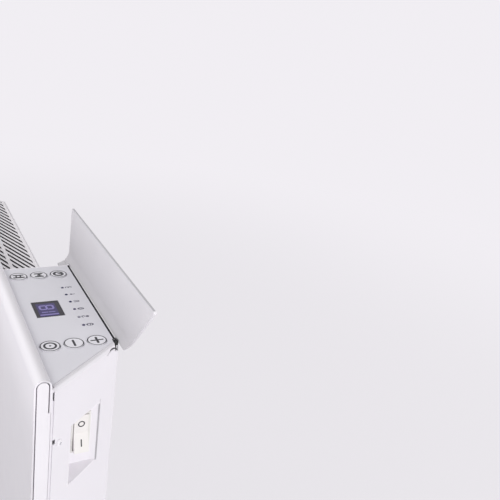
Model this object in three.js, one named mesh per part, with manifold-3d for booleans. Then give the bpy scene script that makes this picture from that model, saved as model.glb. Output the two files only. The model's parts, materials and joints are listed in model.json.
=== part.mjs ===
// Wall-mounted convector panel heater with a control head at its right end.
// Millimetres, +Z up. The origin is the middle of the wall bracket's back face.
// +Y points into the wall, so the front panel faces -Y and +X is its right end.
import * as THREE from "three";
import { mergeVertices } from "three/addons/utils/BufferGeometryUtils.js";
import Module from "manifold-3d";

const wasm = await Module();
wasm.setup();

// Overall sizes
const panelLength = 640;
const panelHeight = 430;
const panelThickness = 12;
const bodyDepth = 76.4;
const wallGap = 9.6;
const sideTaper = 50.1;
const sideStartDepth = 14;
const headLength = 209;
const headDrop = 9;
const grilleDrop = 59;
const baseRise = 6;

// Sheet metal, clearances and rounding
const sheet = 1.2;
const thinSheet = 0.8;
const seat = 0.3;
const running = 0.4;
const overrun = 5;
const arcSteps = 8;
const hexSides = 6;
const smallSides = 12;
const roundSides = 24;

// Front panel and end caps
const panelReturn = 28;
const capReach = 16;
const capGap = 0.8;
const capWall = 2;
const foldWidth = 2.8;
const foldDrop = 1;

// Rear casing
const flangeWidth = 16;
const revealDepth = 1.2;
const rimWidth = 4.5;
const rimChamfer = 2.2;
const rimFold = 6;
const notchHeight = 4.5;
const notchDepth = 2;
const notchAbove = 4;
const notchReach = 4;
const slitDrop = 3;
const slitHeight = 7;
const slitWidth = 0.9;
const beadRadius = 2;
const beadRise = 60;
const beadMargin = 40;

// Outlet and inlet grilles
const grilleFlange = 8;
const grilleMargin = 2.7;
const grilleRib = 4;
const slotPitch = 16.5;
const slotWidth = 8.2;
const slotRun = 61;
const inletPitch = 16;
const inletWidth = 5;
const inletMargin = 9;

// Control compartment tray
const partitionInset = 82;
const partitionFoot = 12;
const leadHoleRadius = 5;

// Fascia
const fasciaThickness = 2;
const fasciaSkirt = 12;
const fasciaWall = 1.6;
const fasciaCorner = 3;
const lidSlit = 1.3;
const pillarRadius = 2.5;
const pillarOffset = 20;

// Keys: six round buttons in a near and a far row
const keyRadius = 7.7;
const keySides = 36;
const keyProud = 0.8;
const keyFlange = 1.1;
const keyFlangeThickness = 1;
const keyStemRadius = 2;
const keyTravel = 0.8;
const keyNearRow = 57.5;
const keyFarRow = 188.5;
const keyFirstDepth = 23.5;
const keyPitch = 18.5;
const tactSide = 6;
const tactHeight = 6;
const tactPlungerRadius = 1.6;
const tactPlunger = 1.2;

// Display and indicator lights
const displayWidth = 28.5;
const displayHeight = 23;
const displayAcross = 120;
const displayDepth = 35.5;
const windowThickness = 1.4;
const moduleMargin = 2.5;
const moduleThickness = 8;
const lightAcross = 122;
const lightDepth = 57.3;
const lightPitch = 14.7;
const lightCount = 6;
const lightRadius = 1.2;
const lightBarWidth = 5;
const lightBarThickness = 3;

// Boards inside the head
const boardDrop = 14;
const boardThickness = 1.6;
const boardMargin = 6;
const boardNearEnd = 52;
const carrierHeight = 6;
const carrierBar = 5;
const powerLength = 105;
const powerWidth = 46;
const powerInset = 10;
const relayLength = 28;
const relayWidth = 13;
const relayHeight = 16;
const sinkLength = 34;
const sinkHeight = 24;
const sinkFin = 2;
const sinkPitch = 5;
const sinkFins = 4;

// Lid, in its closed state: the hinge axis is its centre
const hingeInset = 1.3;
const hingeDrop = 1;
const lidThickness = 2;
const lidRise = 4.9;
const lidArcStart = 9.85;
const lidTail = 0.5;
const lidArcRadius = 14;
const lidLength = 55.8;
const lidOverhang = 9;
const lidNearCorner = 1.5;
const lidFarCorner = 1;
const lidOpenDegrees = 91;
const earLength = 17.5;
const earWidth = 2;
const earRadius = 2;
const earSweepDegrees = 78;
const lugRadius = 2;
const lugWidth = 2;
const lugLeg = 10;
const lugLegWidth = 1.9;
const pinRadius = 1;
const lugInset = 4.6;
const reliefAcross = 6.8;
const reliefDrop = 11.9;
const reliefRadius = 10.5;
const reliefWidth = 1.1;
const reliefReach = 3.5;
const reliefStartDegrees = 20;
const reliefEndDegrees = 133;
const cornerDrop = 6;

// Recess for the rocker switch
const pocketFrontDepth = 30.8;
const pocketBackDepth = 58.5;
const pocketWallAcross = 37;
const pocketWallFrontDepth = 31;
const pocketWallBackDepth = 54;
const pocketTopDrop = 44.5;
const pocketFloorDrop = 101;
const pocketSkin = 1.5;

// Rocker switch
const rockerDepth = 45;
const rockerDrop = 70;
const bezelHeight = 37.6;
const bezelWidth = 15.2;
const bezelThickness = 1.5;
const bezelFrame = 1.4;
const paddleHalf = 16.6;
const paddleProud = 1;
const paddleReach = 3;
const pivotBehind = 1;
const rockerTiltDegrees = 9;
const switchBodyDepth = 19;
const switchBodyWall = 1.2;
const tabLength = 7;
const tabWidth = 4.8;
const tabThickness = 0.8;
const tabPitch = 9;

// Heating element
const elementLeftMargin = 70;
const elementRightMargin = 48;
const elementRise = 60;
const elementCore = 6.5;
const elementFin = 1.6;
const elementFinReach = 21;
const elementFinPitch = 7;
const sheathRadius = 4;
const sheathReach = 16;
const terminalRadius = 1.8;
const terminalReach = 6;
const bracketWidth = 26;
const bracketFoot = 14;
const bushRadius = 7;
const bushLength = 4;
const supportOffset = 9;

// Other inner pieces
const shieldFold = 6;
const shieldOverlap = 4;
const shieldMargin = 10;
const cutoutRadius = 8;
const cutoutHeight = 7;
const cutoutEar = 12;
const cutoutAcross = 200;
const cutoutRise = 120;
const sensorAcross = 24;
const sensorBlock = 8;
const sensorBulbRadius = 2.2;
const sensorBulbLength = 12;
const blockLength = 26;
const blockWidth = 30;
const blockDepth = 16;
const blockRise = 62;
const blockPoleRadius = 2.2;
const glandAcross = 55;
const glandDepth = 36;
const glandThread = 8;
const glandNut = 10.5;
const glandNutHeight = 5;
const glandBore = 4;
const earthAcross = 62;
const earthRise = 150;
const earthHeadRadius = 4.5;
const earthHeadHeight = 2.4;
const earthShankRadius = 2.2;
const earthShank = 6;
const leadRadius = 1.8;
const leadFacets = 4;
const leadSteps = 48;
const leadPost = 9;
const leadLoop = 12;
const leadTravel = 90;
const ribbonWidth = 20;
const ribbonThickness = 1;

// Wall bracket
const strapSpan = 300;
const strapWidth = 30;
const railSpan = 210;
const railHeight = 24;
const bracketSheet = 1.5;
const wallHoleRadius = 3;
const hookSpan = 240;
const hookWidth = 24;
const hookLip = 8;
const hookPlay = 0.6;
const spacerRadius = 8;
const spacerInset = 120;
const spacerRise = 40;

// Case screws
const screwDepth = 19.6;
const screwDrop = 50;
const screwLowRise = 60;
const screwHeadRadius = 2.8;
const screwHeadHeight = 1.7;
const screwShankRadius = 1.6;
const screwShank = 7;

// Planes and lines that follow from the sizes
const right = panelLength / 2;
const top = panelHeight / 2;
const bottom = -top;
const back = -wallGap;
const front = back - bodyDepth;
const panelBack = front + panelThickness;
const sideFront = panelBack + seat;
const sideStart = front + sideStartDepth;
const fasciaTop = top - headDrop;
const grilleTop = fasciaTop - grilleDrop;
const base = bottom + baseRise;
const headEnd = right - headLength;
const rearInner = back - sheet;
const sideDepth = back - sideStart;
const sideSlope = sideTaper / sideDepth;
const sideSecant = Math.hypot(sideTaper, sideDepth) / sideDepth;
const sideAngle = Math.atan2(sideTaper, sideDepth);
const partition = right - partitionInset;
const fasciaBottom = fasciaTop - fasciaThickness;
const hingeY = back - hingeInset;
const hingeZ = fasciaTop - hingeDrop;
const fasciaBack = hingeY - lidSlit;

// The right side face's x at a depth y, moved in by a distance square to it
function sideX(y, inset = 0) {
  return right - sideSlope * (y - sideStart) - inset * sideSecant;
}

function atDepth(depth) {
  return front + depth;
}

// Building blocks, each a closed solid
function asSolid(geometry) {
  const bare = geometry.clone();
  bare.deleteAttribute("normal");
  bare.deleteAttribute("uv");
  const merged = mergeVertices(bare);
  return new wasm.Manifold(
    new wasm.Mesh({
      numProp: 3,
      vertProperties: merged.attributes.position.array,
      triVerts: new Uint32Array(merged.index.array),
    }),
  );
}

function asGeometry(solid) {
  const mesh = solid.getMesh();
  const geometry = new THREE.BufferGeometry();
  geometry.setAttribute("position", new THREE.BufferAttribute(mesh.vertProperties, 3));
  geometry.setIndex(new THREE.BufferAttribute(mesh.triVerts, 1));
  return geometry;
}

function join(...solids) {
  return solids.reduce((whole, next) => whole.add(next));
}

function cut(solid, ...tools) {
  return tools.reduce((whole, tool) => whole.subtract(tool), solid);
}

function block(x0, x1, y0, y1, z0, z1) {
  const geometry = new THREE.BoxGeometry(x1 - x0, y1 - y0, z1 - z0);
  geometry.translate((x0 + x1) / 2, (y0 + y1) / 2, (z0 + z1) / 2);
  return asSolid(geometry);
}

function extruded(points, length) {
  const shape = new THREE.Shape(points.map(([x, y]) => new THREE.Vector2(x, y)));
  return new THREE.ExtrudeGeometry(shape, { depth: length, bevelEnabled: false });
}

// A plan outline of (x, y) points raised from z0 to z1
function prism(points, z0, z1) {
  return asSolid(extruded(points, z1 - z0).translate(0, 0, z0));
}

// A section of (y, z) points drawn along X
function barX(points, x0, x1) {
  const turn = new THREE.Matrix4().makeBasis(
    new THREE.Vector3(0, 1, 0),
    new THREE.Vector3(0, 0, 1),
    new THREE.Vector3(1, 0, 0),
  );
  return asSolid(extruded(points, x1 - x0).applyMatrix4(turn).translate(x0, 0, 0));
}

// A section of (x, z) points drawn along Y
function barY(points, y0, y1) {
  return asSolid(extruded(points, y1 - y0).rotateX(Math.PI / 2).translate(0, y1, 0));
}

function rodX(radius, x0, x1, y, z, sides = smallSides) {
  const geometry = new THREE.CylinderGeometry(radius, radius, x1 - x0, sides);
  return asSolid(geometry.rotateZ(Math.PI / 2).translate((x0 + x1) / 2, y, z));
}

function rodY(radius, y0, y1, x, z, sides = smallSides) {
  const geometry = new THREE.CylinderGeometry(radius, radius, y1 - y0, sides);
  return asSolid(geometry.translate(x, (y0 + y1) / 2, z));
}

function rodZ(radius, z0, z1, x, y, sides = smallSides) {
  const geometry = new THREE.CylinderGeometry(radius, radius, z1 - z0, sides);
  return asSolid(geometry.rotateX(Math.PI / 2).translate(x, y, (z0 + z1) / 2));
}

// A round wire along a smooth line through the points
function wire(points, radius, steps) {
  const path = new THREE.CatmullRomCurve3(points.map(([x, y, z]) => new THREE.Vector3(x, y, z)));
  const section = new THREE.Shape();
  section.absarc(0, 0, radius, 0, Math.PI * 2);
  const settings = { steps, curveSegments: leadFacets, extrudePath: path };
  return asSolid(new THREE.ExtrudeGeometry(section, settings));
}

// Points on an arc, from one angle to another, in the plane of the outline
function arc(cx, cy, radius, from, to, steps = arcSteps) {
  return Array.from({ length: steps + 1 }, (_, i) => {
    const angle = from + ((to - from) * i) / steps;
    return [cx + radius * Math.cos(angle), cy + radius * Math.sin(angle)];
  });
}

// An outline whose corners (x, y, radius) are rounded
function rounded(corners) {
  return corners.flatMap(([x, y, radius = 0], i) => {
    if (radius === 0) {
      return [[x, y]];
    }
    const corner = new THREE.Vector2(x, y);
    const [before, after] = [corners.at(i - 1), corners[(i + 1) % corners.length]].map(
      ([px, py]) => new THREE.Vector2(px, py).sub(corner).normalize(),
    );
    const half = Math.acos(before.dot(after)) / 2;
    const middle = before
      .clone()
      .add(after)
      .setLength(radius / Math.sin(half))
      .add(corner);
    const reach = radius / Math.tan(half);
    const [from, to] = [before, after].map((side) => {
      const touch = side.clone().multiplyScalar(reach).add(corner).sub(middle);
      return touch.angle();
    });
    const turn = to - from;
    const wrapped = Math.atan2(Math.sin(turn), Math.cos(turn));
    return arc(middle.x, middle.y, radius, from, from + wrapped);
  });
}

// A section of (inset, z) points drawn along the right side face
function barSide(points, y0, y1) {
  const section = points.map(([inset, z]) => [right - inset * sideSecant, z]);
  const lean = new THREE.Matrix4().set(
    1, -sideSlope, 0, sideSlope * sideStart,
    0, 1, 0, 0,
    0, 0, 1, 0,
    0, 0, 0, 1,
  );
  const bar = extruded(section, y1 - y0).rotateX(Math.PI / 2).translate(0, y1, 0);
  return asSolid(bar.applyMatrix4(lean));
}

function mirrored(solid) {
  return solid.mirror([1, 0, 0]);
}

// Materials
function material(color, roughness, metalness = 0) {
  return new THREE.MeshStandardMaterial({ color, roughness, metalness });
}

const paint = material(0xf0eff2, 0.45);
const housingPaint = material(0xececef, 0.5);
const fasciaGrey = material(0xd4d5d8, 0.5);
const keyWhite = material(0xe8e8ec, 0.4);
const creamPlastic = material(0xf3efe9, 0.35);
const glass = material(0x2a2838, 0.1);
const lcdBlue = material(0x6a66c8, 0.2);
const lightBlue = material(0x4a48b0, 0.3);
const boardGreen = material(0x1e6b3c, 0.6);
const blackPlastic = material(0x1c1c1e, 0.5);
const whitePlastic = material(0xe4e4e2, 0.5);
const steel = material(0xb8babd, 0.35, 1);
const aluminium = material(0xc9cbce, 0.4, 1);
const zincSheet = material(0xc2c5c8, 0.45, 1);
const ceramic = material(0xefe9dc, 0.7);
const rubber = material(0x2b2b2c, 0.9);
const wireGrey = material(0x8a8a8c, 0.6);
const copper = material(0xb87a4b, 0.4, 1);

const heater = new THREE.Group();

function place(name, solid, look, holder = heater) {
  const mesh = new THREE.Mesh(asGeometry(solid), look);
  mesh.name = name;
  holder.add(mesh);
  return mesh;
}

// Front panel: one sheet, rolled over at top and bottom and returned behind
function frontPanel() {
  const radius = panelThickness / 2;
  const inner = radius - sheet;
  const middle = front + radius;
  const quarter = Math.PI / 2;
  return barX(
    [
      [panelBack, top - panelReturn],
      ...arc(middle, top - radius, radius, 0, 2 * quarter, 2 * arcSteps),
      ...arc(middle, bottom + radius, radius, 2 * quarter, 4 * quarter, 2 * arcSteps),
      [panelBack, bottom + panelReturn],
      [panelBack - sheet, bottom + panelReturn],
      ...arc(middle, bottom + radius, inner, 4 * quarter, 2 * quarter, 2 * arcSteps),
      ...arc(middle, top - radius, inner, 2 * quarter, 0, 2 * arcSteps),
      [panelBack - sheet, top - panelReturn],
    ],
    -right,
    right,
  );
}

// End cap: a tray that fills the panel's open end, with a fold down its back edge
function endCap() {
  const inside = right - capReach;
  const y0 = front + sheet + capGap;
  const y1 = panelBack - sheet - capGap;
  const radius = (y1 - y0) / 2;
  const middle = y0 + radius;
  const capTop = top - sheet - capGap;
  const capBottom = bottom + sheet + capGap;
  const roundEnded = barX(
    [
      ...arc(middle, capTop - radius, radius, 0, Math.PI, 2 * arcSteps),
      ...arc(middle, capBottom + radius, radius, Math.PI, 2 * Math.PI, 2 * arcSteps),
    ],
    inside,
    right,
  );
  const backStrip = block(
    inside,
    right,
    middle,
    panelBack,
    bottom + panelReturn + seat,
    top - panelReturn - seat,
  );
  const hollow = block(
    inside - overrun,
    right - capWall,
    y0 + capWall,
    y1 - capWall,
    capBottom + radius,
    capTop - radius,
  );
  const fold = prism(
    [
      [right, panelBack - foldWidth],
      [right - foldDrop, panelBack],
      [right - foldDrop, panelBack + overrun],
      [right + overrun, panelBack + overrun],
      [right + overrun, panelBack - foldWidth],
    ],
    bottom - overrun,
    top + overrun,
  );
  return cut(join(roundEnded, backStrip), hollow, fold);
}

// Plan outline of the casing, moved in by a distance
function casingPlan(inset, y0, y1) {
  return [
    [sideX(y0, inset), y0],
    [sideX(y1, inset), y1],
    [-sideX(y1, inset), y1],
    [-sideX(y0, inset), y0],
  ];
}

const hookZ = railSpan / 2 - bracketSheet / 2;
const notchZ = hingeZ - earRadius - running;
const hingeFront = hingeY - lugRadius - running;
const screwY = atDepth(screwDepth);
const screwHigh = fasciaTop - screwDrop;
const leftScrewHigh = grilleTop - screwDrop;
const screwLow = base + screwLowRise;

// A solid built along +X at the origin, set square on the right side face
function onSide(solid, y, z) {
  return solid.rotate([0, 0, THREE.MathUtils.radToDeg(sideAngle)]).translate([sideX(y), y, z]);
}

function pocketOutline(skin) {
  const wall = right - pocketWallAcross;
  const y0 = atDepth(pocketFrontDepth) - skin;
  const y1 = atDepth(pocketBackDepth) + skin;
  return [
    [right + overrun, y0],
    [sideX(y0, -skin), y0],
    [wall - skin, atDepth(pocketWallFrontDepth) - skin],
    [wall - skin, atDepth(pocketWallBackDepth)],
    [sideX(y1) - skin / 2, y1],
    [right + overrun, y1],
  ];
}

function pocketSpace(skin) {
  const floor = fasciaTop - pocketFloorDrop - skin;
  const roof = fasciaTop - pocketTopDrop + skin;
  return prism(pocketOutline(skin), floor, roof);
}

// Rim along the head's side: the sheet is chamfered and folded in beside the fascia
function headRim() {
  const bend = sheet * Math.tan(Math.PI / 8);
  return barSide(
    [
      [0, fasciaTop - rimFold],
      [0, fasciaTop - rimChamfer],
      [rimChamfer, fasciaTop],
      [rimWidth, fasciaTop],
      [rimWidth, fasciaTop - sheet],
      [rimChamfer + bend, fasciaTop - sheet],
      [sheet, fasciaTop - rimChamfer - bend],
      [sheet, fasciaTop - rimFold],
    ],
    sideStart,
    hingeFront,
  );
}

// Rear casing: back and both slanted sides in one sheet, higher at the head
function rearCasing() {
  const low = base - overrun;
  const high = top + overrun;
  const outer = prism(casingPlan(0, sideFront, back), base, fasciaTop);
  const inner = prism(casingPlan(sheet, sideFront + sheet, rearInner), low, high);
  const mouth = block(
    flangeWidth - right,
    right - flangeWidth,
    sideFront - overrun,
    sideFront + sheet + overrun,
    low,
    high,
  );
  const step = block(
    right - revealDepth - sheet,
    right - sheet,
    sideFront,
    sideStart + sheet,
    base,
    fasciaTop,
  );
  const reveal = block(
    right - revealDepth,
    right + overrun,
    sideFront - overrun,
    sideStart,
    low,
    high,
  );
  const besideHead = block(
    -right - overrun,
    headEnd,
    sideFront - overrun,
    back + overrun,
    grilleTop,
    high,
  );
  const chamfer = barSide(
    [
      [-overrun, fasciaTop - rimChamfer - overrun],
      [rimChamfer + overrun, fasciaTop + overrun],
      [-overrun, fasciaTop + overrun],
    ],
    sideFront - overrun,
    back + overrun,
  );
  const fasciaRoom = prism(fasciaPlan(-seat), fasciaTop - fasciaSkirt - seat, high);
  const hingeRoom = block(
    headEnd - overrun,
    right,
    hingeFront,
    back + overrun,
    notchZ,
    high,
  );
  const hooks = [-1, 1].map((side) =>
    block(
      (side * hookSpan) / 2 - hookWidth / 2 - hookPlay,
      (side * hookSpan) / 2 + hookWidth / 2 + hookPlay,
      rearInner - overrun,
      back + overrun,
      hookZ - hookLip - hookPlay,
      hookZ + bracketSheet + seat,
    ),
  );
  const notch = block(
    right - notchReach,
    right + overrun,
    sideStart,
    sideStart + notchDepth,
    screwHigh + notchAbove - notchHeight / 2,
    screwHigh + notchAbove + notchHeight / 2,
  );
  const slit = block(
    right - notchReach,
    right + overrun,
    sideStart - slitWidth,
    sideStart,
    fasciaTop - slitDrop - slitHeight,
    fasciaTop - slitDrop,
  );
  const reliefFrom = THREE.MathUtils.degToRad(reliefStartDegrees);
  const reliefTo = THREE.MathUtils.degToRad(reliefEndDegrees);
  const reliefArch = barX(
    [
      ...arc(0, 0, reliefRadius, reliefFrom, reliefTo, 2 * arcSteps),
      ...arc(0, 0, reliefRadius - reliefWidth, reliefTo, reliefFrom, 2 * arcSteps),
    ],
    -reliefReach,
    overrun,
  );
  const relief = onSide(reliefArch, back - reliefAcross, fasciaTop - reliefDrop);
  const rearCorner = block(
    nearLug + lugWidth / 2 + running,
    right,
    hingeFront,
    back + overrun,
    fasciaTop - cornerDrop,
    high,
  );
  const screwHole = rodX(screwShankRadius + seat, -screwShank, overrun, 0, 0);
  const rightHoles = [screwHigh, screwLow].map((z) => onSide(screwHole, screwY, z));
  const leftHoles = [leftScrewHigh, screwLow].map((z) =>
    mirrored(onSide(screwHole, screwY, z)),
  );
  const beads = [-1, 1].map((side) =>
    rodX(
      beadRadius,
      beadMargin - sideX(back),
      sideX(back) - beadMargin,
      back - sheet / 2,
      side * beadRise,
    ),
  );
  const beadTrim = block(-right, right, rearInner - beadRadius, rearInner, bottom, top);
  const shell = join(cut(outer, inner, mouth), step, mirrored(step), headRim());
  const trimmed = cut(
    shell,
    reveal,
    mirrored(reveal),
    besideHead,
    chamfer,
    fasciaRoom,
    hingeRoom,
    rearCorner,
    relief,
    notch,
    slit,
    pocketSpace(pocketSkin + seat),
    ...hooks,
    ...rightHoles,
    ...leftHoles,
  );
  return join(trimmed, ...beads.map((bead) => cut(bead, beadTrim)));
}

// Room at the front right corner for the casing's step
function cornerRoom() {
  return block(
    right - revealDepth - sheet - seat,
    right + overrun,
    sideFront - overrun,
    sideStart + sheet + seat,
    bottom,
    top,
  );
}

// Outlet grille: a tray of slanted slots in two rows
function topGrille() {
  const y0 = sideFront + sheet + seat;
  const y1 = rearInner - seat;
  const x1 = headEnd - seat;
  const under = grilleTop - sheet;
  const outline = [
    [-sideX(y0, sheet + seat), y0],
    [x1, y0],
    [x1, y1],
    [-sideX(y1, sheet + seat), y1],
  ];
  const lip = [-sideX(y1, sheet + seat), x1];
  const plate = prism(outline, under, grilleTop);
  const frontLip = block(lip[0], lip[1], y0, y0 + sheet, grilleTop - grilleFlange, under + sheet / 2);
  const backLip = block(lip[0], lip[1], y1 - sheet, y1, grilleTop - grilleFlange, under + sheet / 2);
  const rowWidth = (y1 - y0 - 2 * (sheet + grilleMargin) - grilleRib) / 2;
  const rows = [y0 + sheet + grilleMargin, y0 + sheet + grilleMargin + rowWidth + grilleRib];
  const slots = rows.flatMap((start) => {
    const end = start + rowWidth;
    const field = prism(
      [
        [-sideX(start, sheet + seat + grilleMargin), start],
        [x1 - grilleMargin, start],
        [x1 - grilleMargin, end],
        [-sideX(end, sheet + seat + grilleMargin), end],
      ],
      under - overrun,
      grilleTop + overrun,
    );
    const first = -right - slotRun;
    const count = Math.ceil((x1 - first) / slotPitch);
    return Array.from({ length: count }, (_, i) => {
      const x = first + i * slotPitch;
      const slot = prism(
        [
          [x, start],
          [x + slotWidth, start],
          [x + slotWidth + slotRun, end],
          [x + slotRun, end],
        ],
        under - overrun,
        grilleTop + overrun,
      );
      return slot.intersect(field);
    });
  });
  const openings = slots.filter((slot) => !slot.isEmpty());
  return cut(join(plate, frontLip, backLip), mirrored(cornerRoom()), ...openings);
}

const glandX = right - glandAcross;
const glandY = atDepth(glandDepth);

// Inlet grille: the floor of the casing, with a hole for the cable gland
function bottomGrille() {
  const y0 = sideFront + sheet + seat;
  const y1 = rearInner - seat;
  const outline = casingPlan(sheet + seat, y0, y1);
  const plate = prism(outline, base, base + sheet);
  const lipEnd = sideX(y1, sheet + seat);
  const lips = [y0, y1 - sheet].map((y) =>
    block(-lipEnd, lipEnd, y, y + sheet, base + sheet / 2, base + grilleFlange),
  );
  const reach = partition - inletPitch;
  const count = Math.floor((2 * reach) / inletPitch);
  const slots = Array.from({ length: count }, (_, i) => {
    const x = -reach + (i + 1 / 2) * inletPitch;
    return block(
      x - inletWidth / 2,
      x + inletWidth / 2,
      y0 + inletMargin,
      y1 - inletMargin,
      base - overrun,
      base + sheet + overrun,
    );
  });
  const glandHole = rodZ(
    glandThread + seat,
    base - overrun,
    base + sheet + overrun,
    glandX,
    glandY,
    roundSides,
  );
  return cut(join(plate, ...lips), cornerRoom(), mirrored(cornerRoom()), ...slots, glandHole);
}

// Control tray: head's end wall, floor under the boards and partition beside the element
function controlTray() {
  const y0 = panelBack + seat;
  const y1 = rearInner - seat;
  const foot = base + partitionFoot;
  const folded = barY(
    [
      [headEnd, grilleTop - sheet],
      [partition - sheet, grilleTop - sheet],
      [partition - sheet, foot],
      [partition, foot],
      [partition, grilleTop],
      [headEnd + sheet, grilleTop],
      [headEnd + sheet, fasciaTop],
      [headEnd, fasciaTop],
    ],
    y0,
    y1,
  );
  const lug = rodX(lugRadius, headEnd, headEnd + sheet, hingeY, hingeZ, roundSides);
  const lugRoot = block(
    headEnd,
    headEnd + sheet,
    hingeY - lugRadius,
    back,
    notchZ + seat,
    hingeZ,
  );
  const pinHole = rodX(
    pinRadius + seat,
    headEnd - overrun,
    headEnd + sheet + overrun,
    hingeY,
    hingeZ,
  );
  const leadHole = rodX(
    leadHoleRadius,
    partition - overrun,
    partition + overrun,
    elementY,
    leadHoleZ,
    roundSides,
  );
  return cut(join(folded, lug, lugRoot), pinHole, leadHole);
}

function fasciaPlan(inset) {
  const y0 = panelBack + seat + inset;
  const y1 = fasciaBack - inset;
  const farX = headEnd + sheet + seat + inset;
  return rounded([
    [sideX(y0, rimWidth + seat + inset), y0],
    [sideX(y1, rimWidth + seat + inset), y1, fasciaCorner],
    [farX, y1],
    [farX, y0],
  ]);
}

const keyNames = [
  ["button_power", keyNearRow, 0],
  ["button_minus", keyNearRow, 1],
  ["button_plus", keyNearRow, 2],
  ["button_program", keyFarRow, 0],
  ["button_mode", keyFarRow, 1],
  ["button_timer", keyFarRow, 2],
];
const keyPlaces = keyNames.map(([name, across, step]) => ({
  name,
  x: right - across,
  y: atDepth(keyFirstDepth + step * keyPitch),
}));
const displayX = right - displayAcross;
const displayY = atDepth(displayDepth);
const lightY = atDepth(lightDepth);
const lightXs = Array.from(
  { length: lightCount },
  (_, i) => right - lightAcross + (i - (lightCount - 1) / 2) * lightPitch,
);
const boardTop = fasciaTop - boardDrop;
const nearLug = sideX(hingeY) - lugInset;
const nearEarEnd = nearLug - lugWidth / 2 - running;

function displayBox(grow, z0, z1) {
  return block(
    displayX - displayWidth / 2 - grow,
    displayX + displayWidth / 2 + grow,
    displayY - displayHeight / 2 - grow,
    displayY + displayHeight / 2 + grow,
    z0,
    z1,
  );
}

// Where the board's four pillars stand, in from the board's corners
const boardX0 = headEnd + sheet + boardMargin;
const boardX1 = right - boardNearEnd;
const boardY0 = panelBack + seat + fasciaWall;
const boardY1 = fasciaBack - fasciaWall;
const pillarXs = [right - keyFarRow + pillarOffset, right - keyNearRow - pillarOffset];
const pillarYs = [boardY0 + boardMargin, boardY1 - boardMargin];
const tactTop = boardTop + seat + tactHeight;

// Fascia: the grey plate that carries keys, display and lights
function controlFascia() {
  const whole = prism(fasciaPlan(0), fasciaTop - fasciaSkirt, fasciaTop);
  const under = prism(fasciaPlan(fasciaWall), fasciaTop - fasciaSkirt - overrun, fasciaBottom);
  const keyHoles = keyPlaces.map((key) =>
    rodZ(keyRadius + running, fasciaBottom - overrun, fasciaTop + overrun, key.x, key.y, keySides),
  );
  const lightHoles = lightXs.map((x) =>
    rodZ(lightRadius + seat, fasciaBottom - overrun, fasciaTop + overrun, x, lightY),
  );
  const lugRoom = block(
    nearEarEnd - earWidth - running,
    right,
    hingeFront,
    back,
    fasciaTop - fasciaSkirt - overrun,
    fasciaTop + overrun,
  );
  const pillars = pillarXs.flatMap((x) =>
    pillarYs.map((y) => rodZ(pillarRadius, boardTop + seat, fasciaBottom + seat, x, y)),
  );
  return cut(
    join(cut(whole, under), ...pillars),
    displayBox(seat, fasciaBottom - overrun, fasciaTop + overrun),
    ...keyHoles,
    ...lightHoles,
    lugRoom,
  );
}

// A key: cap in the fascia's hole, flange under the fascia, stem down to its switch
function key({ x, y }) {
  const flangeTop = fasciaBottom - seat;
  const flangeBottom = flangeTop - keyFlangeThickness;
  return join(
    rodZ(keyRadius, flangeBottom, fasciaTop + keyProud, x, y, keySides),
    rodZ(keyRadius + keyFlange, flangeBottom, flangeTop, x, y, keySides),
    rodZ(keyStemRadius, tactTop + seat + keyTravel, flangeTop, x, y),
  );
}

function tactSwitch({ x, y }) {
  const bodyTop = tactTop - tactPlunger;
  return join(
    block(
      x - tactSide / 2,
      x + tactSide / 2,
      y - tactSide / 2,
      y + tactSide / 2,
      boardTop + seat,
      bodyTop,
    ),
    rodZ(tactPlungerRadius, boardTop + sheet, tactTop, x, y),
  );
}

function displayModule() {
  const moduleTop = fasciaBottom - seat;
  return displayBox(moduleMargin, moduleTop - moduleThickness, moduleTop);
}

function displayWindow() {
  return displayBox(0, fasciaTop - windowThickness, fasciaTop);
}

// Light pipe: six pips on one bar under the fascia
function lightPipe() {
  const barTop = fasciaBottom - seat;
  const bar = block(
    lightXs[0] - lightBarWidth / 2,
    lightXs[lightCount - 1] + lightBarWidth / 2,
    lightY - lightBarWidth / 2,
    lightY + lightBarWidth / 2,
    barTop - lightBarThickness,
    barTop,
  );
  const pips = lightXs.map((x) =>
    rodZ(lightRadius, barTop - lightBarThickness / 2, fasciaTop + seat, x, lightY),
  );
  return join(bar, ...pips);
}

function controlBoard() {
  return block(boardX0, boardX1, boardY0, boardY1, boardTop - boardThickness, boardTop);
}

const powerX0 = headEnd + sheet + powerInset;
const powerX1 = powerX0 + powerLength;
const powerY0 = panelBack + powerInset;
const powerY1 = powerY0 + powerWidth;
const powerBottom = grilleTop + seat + carrierHeight + seat;
const powerTop = powerBottom + boardThickness;

// Carrier: a frame of insulating plastic that holds the power board off the tray
function boardCarrier() {
  const z0 = grilleTop + seat;
  const z1 = z0 + carrierHeight;
  return cut(
    block(powerX0, powerX1, powerY0, powerY1, z0, z1),
    block(
      powerX0 + carrierBar,
      powerX1 - carrierBar,
      powerY0 + carrierBar,
      powerY1 - carrierBar,
      z0 - overrun,
      z1 + overrun,
    ),
  );
}

function powerBoard() {
  return block(powerX0, powerX1, powerY0, powerY1, powerBottom, powerTop);
}

function powerRelay() {
  const x0 = powerX1 - carrierBar - relayLength;
  const y0 = powerY0 + carrierBar;
  const z0 = powerTop + seat;
  return block(x0, x0 + relayLength, y0, y0 + relayWidth, z0, z0 + relayHeight);
}

function heatSink() {
  const x0 = powerX1 - carrierBar - sinkLength;
  const y1 = powerY1 - carrierBar;
  const z0 = powerTop + seat;
  const spine = block(x0, x0 + sinkLength, y1 - sinkFin, y1, z0, z0 + sinkHeight);
  const fins = Array.from({ length: sinkFins }, (_, i) => {
    const z = z0 + sinkPitch * (i + 1 / 2);
    return block(x0, x0 + sinkLength, y1 - sinkPitch - sinkPitch, y1 - sinkFin / 2, z, z + sinkFin);
  });
  return join(spine, ...fins);
}

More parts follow.
